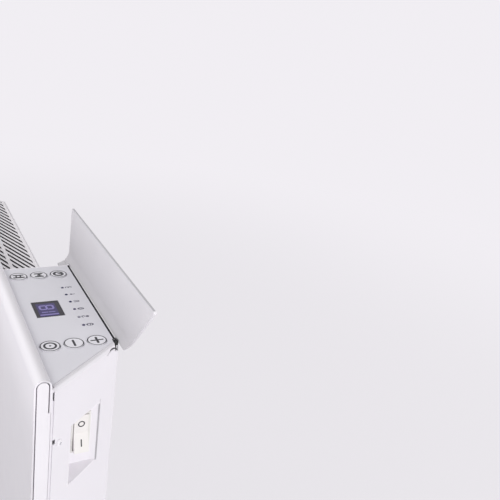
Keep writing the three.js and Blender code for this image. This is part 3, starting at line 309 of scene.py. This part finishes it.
# Finishes: one for each material slot of the record, with colour and roughness
PANEL_PAINT = (0.875, 0.85, 0.89)
CASING_PAINT = (0.87, 0.845, 0.885)
FINE_ALONG_X = (1, 12, 12)
COARSE_ALONG_X = (0.08, 1, 1)
SLOTS = {
    "powder_white": powder_coat("powder_white", PANEL_PAINT, 0.42),
    "housing_white": powder_coat("housing_white", CASING_PAINT, 0.46),
    "cream_plastic": moulding("cream_plastic", (0.88, 0.855, 0.83), 0.42),
    "fascia_grey": moulding("fascia_grey", (0.70, 0.69, 0.735), 0.5),
    "key_white": moulding("key_white", (0.755, 0.745, 0.785), 0.42),
    "window_dark": smoked("window_dark", (0.04, 0.037, 0.045), 0.3),
    "lcd_blue": lit("lcd_blue", (0.045, 0.036, 0.115), strength=0.2),
    "light_blue": smoked("light_blue", (0.02, 0.016, 0.08), 0.3),
    "board_green": solder_mask("board_green", (0.02, 0.16, 0.05)),
    "black_plastic": moulding("black_plastic", (0.02, 0.02, 0.022), 0.5),
    "white_plastic": moulding("white_plastic", (0.8, 0.79, 0.76), 0.45),
    "steel": brushed("steel", (0.62, 0.62, 0.64), 0.3, FINE_ALONG_X),
    "aluminium": brushed("aluminium", (0.72, 0.73, 0.75), 0.36, COARSE_ALONG_X),
    "zinc_sheet": zinc("zinc_sheet", (0.6, 0.61, 0.63)),
    "ceramic": fired("ceramic", (0.82, 0.78, 0.68)),
    "rubber": rubbery("rubber", (0.03, 0.03, 0.03)),
    "wire_grey": rubbery("wire_grey", (0.24, 0.24, 0.25)),
    "wire_brown": rubbery("wire_brown", (0.28, 0.12, 0.05)),
}
CAP_WHITE = moulding("cap_white", (0.885, 0.86, 0.9), 0.4)
# Blackened steel for the hinge's lug and rod, its black also standing in as painted shade in the lid's slit
BLACK_STEEL_AND_SHADE = brushed("blackened_steel_and_shade", (0.03, 0.03, 0.035), 0.45, FINE_ALONG_X)

# Painted shade: an axis with its (metres, share of the colour) stops
PANEL_PAINTED_SHADE = [
    # Painted shade, darker from the top edge down, and a painted highlight over the rolled top
    ("Z", [(0.05, 0.87), (0.13, 0.89), (0.165, 0.93), (0.185, 1.02), (0.2, 1.09), (0.215, 1.11)]),
    # Painted shade: a darker line across the rolled top edge
    ("Y", [(-0.086, 1.0), (-0.0825, 1.0), (-0.0795, 0.72), (-0.0765, 0.76), (-0.074, 1.0)]),
]
# Painted shade, darker at the root
LID_PAINTED_SHADE = [("Z", [(0.201, 0.6), (0.214, 0.78), (0.236, 0.89), (0.26, 1.01)])]
# Painted shade: dark walls in the slots, below the grille's face, which is a touch lighter itself
GRILLE_PAINTED_SHADE = [
    ("Z", [(0.145, 0.05), (0.1464, 0.06), (0.1467, 0.5), (0.1469, 1.0), (0.147, 1.06)]),
]
# Painted shade: a greyer rim round the fascia
RIM_PAINTED_SHADE = [("Z", [(0.2, 1.0), (0.2050, 1.0), (0.2056, 0.8), (0.206, 0.78)])]

# Nodes that look different from the rest of their slot
NODE_LOOKS = {
    # Painted shade on the rim round the fascia
    "rear_casing": powder_coat("casing_white_painted_shade", CASING_PAINT, 0.46, RIM_PAINTED_SHADE),
    # Painted shade in the grille's slots
    "top_grille": powder_coat("grille_white_painted_shade", (0.92, 0.89, 0.92), 0.4, GRILLE_PAINTED_SHADE),
    # Painted shade: the element and its shield below the grille are darkened
    "element_body": brushed("aluminium_painted_shade", (0.3, 0.3, 0.31), 0.42, COARSE_ALONG_X),
    "radiation_shield": zinc("zinc_painted_shade", (0.25, 0.25, 0.26)),
    # Painted shade and highlight on the front panel
    "front_panel": powder_coat("panel_white_painted_shade", PANEL_PAINT, 0.42, PANEL_PAINTED_SHADE),
    # Painted shade at the lid's root
    "control_lid": moulding("lid_white_painted_shade", (0.86, 0.838, 0.875), 0.46, grain=2200, fades=LID_PAINTED_SHADE),
    "end_cap_right": CAP_WHITE,
    "end_cap_left": CAP_WHITE,
    "switch_pocket": CAP_WHITE,
    "hinge_lug": BLACK_STEEL_AND_SHADE,
    "hinge_rod": BLACK_STEEL_AND_SHADE,
}
SCREW_WHITE = powder_coat("screw_white", (0.9, 0.875, 0.91), 0.3)
# Print for signs and marks, and painted shade for the dark lines round the keys
INK_AND_SHADE = ink("ink", (0.02, 0.02, 0.025))
SOFT_INK = ink("soft_ink", (0.05, 0.048, 0.085))
# Pale print for the unlit light's cover, and painted shade for the screws' cross slots
PALE_INK_AND_SHADE = ink("pale_ink_and_shade", (0.3, 0.3, 0.35))
LCD_LIGHT = lit("lcd_light", (0.21, 0.18, 0.4), strength=0.22)
# Painted shade: the grey of the strip along the switch recess's rear edge
RECESS_SHADE_GREY = rubbery("recess_shade_grey", (0.47, 0.455, 0.485))

for entry in frame["record"]["subparts"]:
    mesh = nodes[entry["node"]].data
    mesh.materials.clear()
    look = NODE_LOOKS.get(entry["node"], SLOTS[entry["material_slot"]])
    if entry["node"].startswith("case_screw"):
        look = SCREW_WHITE
    mesh.materials.append(look)


# Soft edges and smooth rounds on the solids, by modifiers alone
SMOOTH_BELOW_DEGREES = 32
BEVEL_ABOVE_DEGREES = 34
FLAT_WITHIN_DEGREES = 1
BEVEL_SEGMENTS = 2
LARGE_FACES_FIRST = 100


def smooth_rounds():
    """A node group that smooths every edge flatter than an angle."""
    group = bpy.data.node_groups.new("smooth_rounds", "GeometryNodeTree")
    for direction in ("INPUT", "OUTPUT"):
        group.interface.new_socket("Geometry", in_out=direction, socket_type="NodeSocketGeometry")
    start = group.nodes.new("NodeGroupInput")
    end = group.nodes.new("NodeGroupOutput")
    angle = group.nodes.new("GeometryNodeInputMeshEdgeAngle")
    sharp = group.nodes.new("FunctionNodeCompare")
    sharp.data_type = "FLOAT"
    sharp.operation = "GREATER_THAN"
    sharp.inputs[1].default_value = math.radians(SMOOTH_BELOW_DEGREES)
    normals = group.nodes.new("GeometryNodeSetMeshNormal")
    normals.mode = "SHARPNESS"
    normals.inputs["Remove Custom"].default_value = True
    normals.inputs["Face Sharpness"].default_value = False
    group.links.new(angle.outputs["Unsigned Angle"], sharp.inputs[0])
    group.links.new(start.outputs[0], normals.inputs["Mesh"])
    group.links.new(sharp.outputs[0], normals.inputs["Edge Sharpness"])
    group.links.new(normals.outputs[0], end.inputs[0])
    return group


ROUNDS = smooth_rounds()

# Plates with many holes keep their triangles, because a single face round them shades unevenly
HOLED = {"control_fascia", "control_tray", "wall_bracket"}


def soften(name, width):
    piece = nodes[name]
    if width > 0:
        if name not in HOLED:
            flat = piece.modifiers.new("flat", "DECIMATE")
            flat.decimate_type = "DISSOLVE"
            flat.angle_limit = math.radians(FLAT_WITHIN_DEGREES)
        bevel = piece.modifiers.new("bevel", "BEVEL")
        bevel.width = width * MM
        bevel.segments = BEVEL_SEGMENTS
        bevel.limit_method = "ANGLE"
        bevel.angle_limit = math.radians(BEVEL_ABOVE_DEGREES)
        bevel.use_clamp_overlap = True
    rounds = piece.modifiers.new("rounds", "NODES")
    rounds.node_group = ROUNDS
    weighted = piece.modifiers.new("weighted", "WEIGHTED_NORMAL")
    weighted.keep_sharp = True
    weighted.weight = LARGE_FACES_FIRST


# Edge widths: nodes that aren't named keep their sharp edges
SOFT_EDGES = {
    "front_panel": 0.25,
    "end_cap_right": 0.35,
    "end_cap_left": 0.35,
    "control_fascia": 0.35,
    "control_tray": 0.3,
    "control_lid": 0.5,
    "switch_pocket": 0.3,
    "rocker_body": 0.35,
    "rocker_paddle": 0.6,
    "display_window": 0.15,
    "wall_bracket": 0.3,
    "cable_gland": 0.4,
    "wall_spacer_left": 0.6,
    "wall_spacer_right": 0.6,
    "hinge_lug": 0.2,
}
KEY_SOFT_EDGE = 0.3
for name in nodes:
    is_key = name.startswith("button_")
    soften(name, KEY_SOFT_EDGE if is_key else SOFT_EDGES.get(name, 0))


# Flat marks: outlines in millimetres, raised a hair from the face they are printed on
HAIR = 0.004


class Mark:
    """Strokes that cross lie a hair above one another, so no two faces share a plane."""

    PRINT_THICKNESS = 0.03
    END_STEPS = 6
    MERGE_WITHIN = 1e-5

    def __init__(self):
        self.mesh = bmesh.new()
        self.level = 0.0

    def face(self, points):
        self.mesh.faces.new([self.mesh.verts.new((x, y, self.level)) for x, y in points])
        self.level += HAIR
        return self

    def bar(self, start, end, width):
        """A stroke with round ends."""
        a, b = Vector(start), Vector(end)
        along = (b - a).normalized()
        base = math.atan2(along.y, along.x)
        points = []
        for centre, turn in ((b, base - math.pi / 2), (a, base + math.pi / 2)):
            for step in range(self.END_STEPS + 1):
                angle = turn + math.pi * step / self.END_STEPS
                points.append((
                    centre.x + width / 2 * math.cos(angle),
                    centre.y + width / 2 * math.sin(angle),
                ))
        return self.face(points)

    def strokes(self, points, width):
        for a, b in zip(points, points[1:]):
            self.bar(a, b, width)
        return self

    def ring(self, radius, width, start=0.0, end=360.0, centre=(0.0, 0.0), stretch=1.0, steps=64):
        """A ring, or an arc in degrees, drawn out along the second axis by the stretch."""
        rows = []
        for i in range(steps + 1):
            angle = math.radians(start + (end - start) * i / steps)
            rows.append([
                self.mesh.verts.new((
                    centre[0] + r * math.cos(angle),
                    centre[1] + r * stretch * math.sin(angle),
                    self.level,
                ))
                for r in (radius - width / 2, radius + width / 2)
            ])
        self.level += HAIR
        for a, b in zip(rows, rows[1:]):
            self.mesh.faces.new((a[0], a[1], b[1], b[0]))
        return self

    def dot(self, radius, centre=(0.0, 0.0), steps=32):
        turns = [2 * math.pi * i / steps for i in range(steps)]
        return self.face([
            (centre[0] + radius * math.cos(t), centre[1] + radius * math.sin(t))
            for t in turns
        ])

    def build(self, name, body, slot, look, place, thickness=PRINT_THICKNESS):
        """Makes the piece: place takes the outline's plane to its place on the model."""
        bmesh.ops.remove_doubles(self.mesh, verts=self.mesh.verts, dist=self.MERGE_WITHIN)
        raised = bmesh.ops.extrude_face_region(
            self.mesh, geom=list(self.mesh.faces), use_keep_orig=True
        )
        tops = [v for v in raised["geom"] if isinstance(v, bmesh.types.BMVert)]
        bmesh.ops.translate(self.mesh, verts=tops, vec=(0, 0, thickness))
        bmesh.ops.recalc_face_normals(self.mesh, faces=self.mesh.faces)
        data = bpy.data.meshes.new(name)
        self.mesh.to_mesh(data)
        self.mesh.free()
        data.transform(Matrix.Diagonal((MM, MM, MM, 1)))
        data.transform(place)
        data.materials.append(look)
        made = bpy.data.objects.new(name, data)
        bpy.context.scene.collection.objects.link(made)
        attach(made, body)
        return made


def on_top(x, y, z):
    """A level plane just above a point that is given in metres."""
    return Matrix.Translation((x, y, z + HAIR * MM))


def facing(up, out):
    """The turn that lays a mark's plane upright and looking outwards."""
    return Matrix((up.cross(out), up, out)).transposed().to_4x4()


# Key marks: a sign on each key, and a dark line round its edge as painted shade of the gap round the key
KEY_EDGE_RADIUS = 7.35
KEY_EDGE_WIDTH = 0.8
KEY_EDGE_STEPS = 96
KEY_MARKS = {
    "power": lambda m: m.ring(4.4, 1.7).dot(0.9),
    "minus": lambda m: m.bar((-4.0, 0), (4.0, 0), 1.8),
    "plus": lambda m: m.bar((-4.0, 0), (4.0, 0), 1.9).bar((0, -4.7), (0, 4.7), 1.5),
    "program": lambda m: m.bar((-2.6, -4.0), (-2.6, 4.0), 2.1)
    .bar((2.5, -4.1), (2.5, 4.1), 2.5)
    .bar((-1.9, -2.1), (1.8, -2.1), 1.3)
    .bar((-1.9, 1.7), (1.8, 1.7), 1.3),
    "mode": lambda m: m.bar((-3.1, -3.1), (-3.1, 3.1), 2.3)
    .bar((3.1, -3.1), (3.1, 3.1), 2.3)
    .strokes([(-3.1, 3.1), (0, -0.8), (3.1, 3.1)], 2.0),
    "timer": lambda m: m.ring(4.0, 2.4, 110, 430).bar((0, 0.2), (0, 4.2), 2.2),
}


def key_marks():
    for key, draw in KEY_MARKS.items():
        _, high, middle = box("button_" + key)
        place = on_top(middle.x, middle.y, high.z)
        symbol = Mark()
        draw(symbol)
        symbol.build(f"symbol_{key}", key + "_key", "black_plastic", INK_AND_SHADE, place)
        line = Mark().ring(KEY_EDGE_RADIUS, KEY_EDGE_WIDTH, steps=KEY_EDGE_STEPS)
        line.build(f"edge_shade_line_{key}", key + "_key", "black_plastic", INK_AND_SHADE, place)


key_marks()


# Display: lit area, a wide figure, a narrow one beside it and an upright bar
LIT_AREA = [(-10.0, -8.7), (13.2, -8.7), (13.2, 7.4), (-10.0, 7.4)]
FIGURE_FOOT = -7.2
FIGURE_HEIGHT = 13.2
FIGURES_RISE = 0.035
FIGURES_THICKNESS = 0.02
# Each figure's segments, left edge, width and stroke
FIGURES = [("abcdefg", -7.2, 8.8, 2.1), ("bc", 3.4, 3.2, 1.5)]
SIDE_BAR = ((10.4, -7.6), (10.4, 6.4), 1.7)
SEGMENT_GAP_SHARE = 0.45
SEGMENT_WIDTH_SHARE = 0.8


def digit(mark, segments, x, width, stroke):
    """A seven-segment figure with its left edge at x."""
    left, right = x + stroke / 2, x + width - stroke / 2
    low = FIGURE_FOOT + stroke / 2
    mid = FIGURE_FOOT + FIGURE_HEIGHT / 2
    high = FIGURE_FOOT + FIGURE_HEIGHT - stroke / 2
    lines = {
        "a": ((left, high), (right, high)),
        "b": ((right, mid), (right, high)),
        "c": ((right, low), (right, mid)),
        "d": ((left, low), (right, low)),
        "e": ((left, low), (left, mid)),
        "f": ((left, mid), (left, high)),
        "g": ((left, mid), (right, mid)),
    }
    inset = stroke * SEGMENT_GAP_SHARE
    for segment in segments:
        a, b = (Vector(p) for p in lines[segment])
        along = (b - a).normalized() * inset
        mark.bar(a + along, b - along, stroke * SEGMENT_WIDTH_SHARE)


def display():
    _, high, middle = box("display_window")
    slot = "lcd_blue"
    base = on_top(middle.x, middle.y, high.z)
    above = on_top(middle.x, middle.y, high.z + FIGURES_RISE * MM)
    area = Mark().face(LIT_AREA)
    area.build("display_lit_area", "heater", slot, SLOTS["lcd_blue"], base)
    figures = Mark()
    for segments, x, width, stroke in FIGURES:
        digit(figures, segments, x, width, stroke)
    figures.bar(*SIDE_BAR)
    figures.build("display_figures", "heater", slot, LCD_LIGHT, above, FIGURES_THICKNESS)


display()


# Lights: a small pictogram behind each one, and a cover on the one that isn't lit
PICTOGRAMS = [
    lambda m: m.ring(1.2, 0.75, 40, 320, (0, -1.5)).ring(1.2, 0.75, 40, 320, (0, 1.5)),
    lambda m: m.dot(1.15, (0, -1.0)).bar((0, -0.3), (0, 2.1), 0.8),
    lambda m: m.bar((-1.1, -2.1), (-0.5, 2.3), 0.85).bar((1.2, -2.1), (0.7, 2.3), 0.85),
    lambda m: m.ring(1.5, 0.8, stretch=1.55).bar((0, -1.3), (0, 0.7), 0.6),
    lambda m: m.ring(1.3, 0.8, 60, 360, (0, -1.6)).dot(1.4, (0.2, 1.8)),
    lambda m: m.ring(1.7, 0.8, stretch=1.5).bar((-0.9, 0.3), (0.9, 0.3), 0.6),
]
PICTOGRAM_RISE = 5.4
LIGHT_INSET = 2.5
COVER_RADIUS = 1.25
UNLIT = 4


def lights():
    low, high, middle = box("light_pipe")
    fascia_top = box("control_fascia")[1].z
    first = low.x + LIGHT_INSET * MM
    pitch = (high.x - low.x - 2 * LIGHT_INSET * MM) / (len(PICTOGRAMS) - 1)
    for i, draw in enumerate(PICTOGRAMS):
        x = first + i * pitch
        icon = Mark()
        draw(icon)
        place = on_top(x, middle.y + PICTOGRAM_RISE * MM, fascia_top)
        icon.build(f"pictogram_{i + 1}", "heater", "black_plastic", SOFT_INK, place)
    place = on_top(first + UNLIT * pitch, middle.y, high.z)
    Mark().dot(COVER_RADIUS).build("unlit_light", "heater", "light_blue", PALE_INK_AND_SHADE, place)


lights()


# Rocker marks: a ring on the upper face and a stroke on the lower one
ROCKER_TILT = math.radians(9)
ROCKER_CREST = 2.0
MARK_REACH = 8.6
ROCKER_MARKS = {
    "off": (1, lambda m: m.ring(2.35, 0.95, steps=48)),
    "on": (-1, lambda m: m.bar((0, -2.7), (0, 2.7), 1.0)),
}


def rocker_marks():
    pivot = joint_place("rocker_pivot")
    pressed = Matrix.Rotation(-ROCKER_TILT, 3, "Y")
    for name, (sign, draw) in ROCKER_MARKS.items():
        slant = ROCKER_TILT * sign
        out = pressed @ Vector((math.cos(slant), 0, -math.sin(slant)))
        up = pressed @ Vector((math.sin(slant), 0, math.cos(slant)))
        middle = pressed @ Vector((ROCKER_CREST, 0, 0)) + up * (MARK_REACH * sign)
        place = Matrix.Translation(pivot + middle * MM + out * (HAIR * MM)) @ facing(up, out)
        mark = Mark()
        draw(mark)
        mark.build(f"rocker_mark_{name}", "rocker", "black_plastic", INK_AND_SHADE, place)


rocker_marks()


# The slanted side face, found on the casing's outermost corners
REAR_BAND = 2


def side_corners():
    points = {(round(v.co.x, 5), round(v.co.y, 5)) for v in nodes["rear_casing"].data.vertices}
    front = max(points)
    deepest = max(y for x, y in points)
    rear = max(p for p in points if p[1] > deepest - REAR_BAND * MM)
    return Vector(front), Vector(rear)


SIDE_FRONT, SIDE_REAR = side_corners()
SLOPE = math.atan2(SIDE_FRONT.x - SIDE_REAR.x, SIDE_REAR.y - SIDE_FRONT.y)


def on_side(y, z, depth):
    """A plane on the side face, at a depth below it: x runs to the wall, y up and z outwards."""
    x = SIDE_FRONT.x - (y - SIDE_FRONT.y) * math.tan(SLOPE)
    out = Vector((math.cos(SLOPE), math.sin(SLOPE), 0))
    up = Vector((0, 0, 1))
    return Matrix.Translation(Vector((x, y, z)) - out * depth * MM) @ facing(up, out)


# Recess edge: a grey strip at the rear as painted shade along that edge, and a painted bead over the other three
# joints
STRIP_WIDTH = 2.1
STRIP_ENDS = (1.2, 4.0)
STRIP_THICKNESS = 0.05
BEAD_WIDTH = 0.9
BEAD_SHIFT = 0.15


def recess_edge():
    low, high, middle = box("switch_pocket")
    half = (high.z - low.z) / MM / 2
    reach = (high.y - middle.y) / MM / math.cos(SLOPE)
    place = on_side(middle.y, middle.z, -HAIR)
    x = reach - STRIP_WIDTH / 2
    strip = Mark().bar((x, STRIP_ENDS[0] - half), (x, half - STRIP_ENDS[1]), STRIP_WIDTH)
    strip.build("recess_shade_strip", "heater", "black_plastic", RECESS_SHADE_GREY, place, STRIP_THICKNESS)
    edge, end = reach + BEAD_SHIFT, half + BEAD_SHIFT
    corners = [(edge - STRIP_WIDTH, end), (-edge, end), (-edge, -end), (edge - STRIP_WIDTH, -end)]
    bead = Mark().strokes(corners, BEAD_WIDTH)
    bead.build("recess_bead", "heater", "housing_white", SLOTS["housing_white"], place)


recess_edge()


# Painted shade: a dark rubber arc in the arched relief behind the lid's hinge
RELIEF_ACROSS = 6.8
RELIEF_DROP = 11.9
RELIEF_DEPTH = 1.4
RELIEF_RADIUS = 9.95
RELIEF_WIDTH = 1.0
RELIEF_ARC_DEGREES = (22, 132)
SHADE_ARC_THICKNESS = 0.9


def relief_shade_arc():
    top = box("control_fascia")[1].z
    place = on_side(SIDE_REAR.y - RELIEF_ACROSS * MM, top - RELIEF_DROP * MM, RELIEF_DEPTH)
    arc_of_shade = Mark().ring(RELIEF_RADIUS, RELIEF_WIDTH, *RELIEF_ARC_DEGREES)
    arc_of_shade.build("relief_shade_arc", "heater", "rubber", SLOTS["rubber"], place, SHADE_ARC_THICKNESS)


relief_shade_arc()


# Hinge: a dark bush round the lid's near ear and a dark cap with an arm on the lug's end, as painted shade where
# the lid's slit ends
EAR_WIDTH = 2.0
EAR_GAP = 0.4
BUSH_RADIUS = 2.12
BUSH_STEPS = 48
CAP_STEP = 0.2
CAP_THICKNESS = 0.3
CAP_ARM_END = (5.2, 0.3)
CAP_ARM_WIDTH = 3.0


def hinge_shade_bush():
    hinge = joint_place("lid_hinge")
    lug_low, lug_high, _ = box("hinge_lug")
    turn = Matrix.Rotation(math.radians(90), 4, "Y")
    start = Vector((lug_low.x - (EAR_GAP + EAR_WIDTH) * MM, hinge.y, hinge.z))
    place = Matrix.Translation(start) @ turn
    bush = Mark().dot(BUSH_RADIUS, steps=BUSH_STEPS)
    bush.build("hinge_shade_bush", "lid", "rubber", SLOTS["rubber"], place, EAR_WIDTH)
    end = Vector((lug_high.x + HAIR * MM, hinge.y, hinge.z))
    place = Matrix.Translation(end) @ turn
    cap = Mark().dot(BUSH_RADIUS - CAP_STEP, steps=BUSH_STEPS)
    cap.bar((0, 0), CAP_ARM_END, CAP_ARM_WIDTH)
    cap.build("hinge_shade_cap", "heater", "rubber", SLOTS["rubber"], place, CAP_THICKNESS)


# Lid: a grey strip along its free edge, as painted shade on that edge's face
OPEN_DEGREES = 91
RIM_WITHIN = 0.01
EDGE_INSET = 0.1
EDGE_THICKNESS = 0.05
LID_EDGE_SHADE_GREY = moulding("lid_edge_shade_grey", (0.48, 0.47, 0.5), 0.6)


def lid_edge():
    hinge = joint_place("lid_hinge")
    open_angle = math.radians(OPEN_DEGREES)
    forward = Vector((0, -math.cos(open_angle), math.sin(open_angle)))
    up = Vector((0, math.sin(open_angle), math.cos(open_angle)))
    points = [v.co - hinge for v in nodes["control_lid"].data.vertices]
    reach = max(p.dot(forward) for p in points)
    rim = [p for p in points if p.dot(forward) > reach - RIM_WITHIN * MM]
    across = [p.x / MM for p in rim]
    rise = [p.dot(up) / MM for p in rim]
    turn = Matrix((Vector((1, 0, 0)), up, forward)).transposed().to_4x4()
    place = Matrix.Translation(hinge + forward * (reach + HAIR * MM)) @ turn
    x0, x1 = min(across), max(across)
    y0, y1 = min(rise) + EDGE_INSET, max(rise) - EDGE_INSET
    strip = Mark().face([(x0, y0), (x1, y0), (x1, y1), (x0, y1)])
    strip.build("lid_edge_shade_strip", "lid", "black_plastic", LID_EDGE_SHADE_GREY, place, EDGE_THICKNESS)


hinge_shade_bush()
lid_edge()


# Cross slots in the dome screws, as painted shade: a pale grey cross on each dome
CROSS_REACH = 1.2
CROSS_WIDTH = 0.4
CROSS_DEPTH = 0.12
CROSS_THICKNESS = 0.125
TIP_WITHIN = 0.01


def screw_slots():
    for side, level in (("right", "high"), ("right", "low"), ("left", "high"), ("left", "low")):
        sign = 1 if side == "right" else -1
        out = Vector((sign * math.cos(SLOPE), math.sin(SLOPE), 0))
        points = [v.co for v in nodes[f"case_screw_{side}_{level}"].data.vertices]
        tip = max(points, key=lambda p: p.dot(out))
        tip_points = [p for p in points if tip.dot(out) - p.dot(out) < TIP_WITHIN * MM]
        centre = sum(tip_points, Vector()) / len(tip_points)
        turn = facing(Vector((0, 0, 1)), out)
        place = Matrix.Translation(centre - out * CROSS_DEPTH * MM) @ turn
        cross = Mark().bar((-CROSS_REACH, 0), (CROSS_REACH, 0), CROSS_WIDTH)
        cross.bar((0, -CROSS_REACH), (0, CROSS_REACH), CROSS_WIDTH)
        cross.build(
            f"screw_slot_{side}_{level}", "heater", "steel", PALE_INK_AND_SHADE, place, CROSS_THICKNESS
        )


screw_slots()


# Floor, backdrop and light, with every distance in metres
BACKDROP = (0.879, 0.856, 0.895)
FLOOR_COLOR = (0.85, 0.83, 0.865)
FLOOR_REACH = 12.0
FLOOR_DROP = 0.06
# The floor's own shadow gives way to the even backdrop between these distances and shares
GLOW_RANGE = {"From Min": 0.6, "From Max": 2.4, "To Min": 0.7, "To Max": 1.0}
WORLD_STRENGTH = 0.5
# Name, place, target, diameter and watts
LAMPS = [
    ("lamp_side", (2.3, 0.3, 0.9), (0.2, -0.05, 0.1), 1.2, 22),
    ("lamp_front", (-0.5, -2.6, 1.3), (0, -0.05, 0), 1.8, 7),
    ("lamp_high", (0.35, -0.75, 0.95), (0.25, -0.08, 0.15), 0.5, 1.8),
    ("lamp_edge", (0.25, -0.45, 0.75), (0.25, -0.08, 0.2), 0.3, 0.7),
    ("lamp_back", (-0.8, 2.5, 0.9), (0, 0, 0), 1.8, 10),
]


def seen_directly(tree):
    """1 for rays that show the backdrop itself, 0 for the light it gives."""
    path = tree.nodes.new("ShaderNodeLightPath")
    total = path.outputs["Is Camera Ray"]
    for name in ("Is Glossy Ray", "Is Transmission Ray"):
        either = tree.nodes.new("ShaderNodeMath")
        either.operation = "MAXIMUM"
        tree.links.new(total, either.inputs[0])
        tree.links.new(path.outputs[name], either.inputs[1])
        total = either.outputs[0]
    return total


def lay_floor():
    low = cad_box[0]
    floor_z = low[2] - FLOOR_DROP
    data = bpy.data.meshes.new("floor")
    corners = [(-1, -1), (1, -1), (1, 1), (-1, 1)]
    rows = [(x * FLOOR_REACH, y * FLOOR_REACH, floor_z) for x, y in corners]
    data.from_pydata(rows, [], [(0, 1, 2, 3)])
    floor = bpy.data.objects.new("floor", data)
    bpy.context.scene.collection.objects.link(floor)
    made = Surface("floor", FLOOR_COLOR, roughness=0.9)
    made.tone(made.noise(scale=2, detail=2), spread=0.004)
    data.materials.append(made.material)
    glow = made.node("ShaderNodeEmission", Color=(*BACKDROP, 1), Strength=1.0)
    far = made.node("ShaderNodeVectorMath", operation="LENGTH")
    made.link(made.place, far.inputs[0])
    share = made.node("ShaderNodeMapRange", interpolation_type="SMOOTHSTEP")
    for socket, value in GLOW_RANGE.items():
        share.inputs[socket].default_value = value
    made.link(far.outputs["Value"], share.inputs["Value"])
    factor = made.node("ShaderNodeMath", operation="MULTIPLY")
    made.link(share.outputs["Result"], factor.inputs[0])
    made.link(seen_directly(made.tree), factor.inputs[1])
    mix = made.node("ShaderNodeMixShader")
    made.link(factor.outputs[0], mix.inputs[0])
    made.link(made.shader.outputs[0], mix.inputs[1])
    made.link(glow.outputs[0], mix.inputs[2])
    made.link(mix.outputs[0], made.tree.nodes["Material Output"].inputs["Surface"])


def set_world():
    world = bpy.data.worlds.new("world")
    bpy.context.scene.world = world
    world.use_nodes = True
    tree = world.node_tree
    light = tree.nodes["Background"]
    light.inputs["Color"].default_value = (1.0, 1.0, 1.0, 1)
    light.inputs["Strength"].default_value = WORLD_STRENGTH
    seen = tree.nodes.new("ShaderNodeBackground")
    seen.inputs["Color"].default_value = (*BACKDROP, 1)
    seen.inputs["Strength"].default_value = 1.0
    mix = tree.nodes.new("ShaderNodeMixShader")
    tree.links.new(seen_directly(tree), mix.inputs[0])
    tree.links.new(light.outputs[0], mix.inputs[1])
    tree.links.new(seen.outputs[0], mix.inputs[2])
    tree.links.new(mix.outputs[0], tree.nodes["World Output"].inputs["Surface"])


def hang_lamp(name, place, target, diameter, watts):
    data = bpy.data.lights.new(name, "AREA")
    data.shape = "DISK"
    data.size = diameter
    data.energy = watts
    made = bpy.data.objects.new(name, data)
    made.location = place
    aim = Vector(target) - Vector(place)
    made.rotation_euler = aim.to_track_quat("-Z", "Y").to_euler()
    bpy.context.scene.collection.objects.link(made)


lay_floor()
set_world()
for lamp in LAMPS:
    hang_lamp(*lamp)

bpy.context.scene.view_settings.view_transform = "Standard"
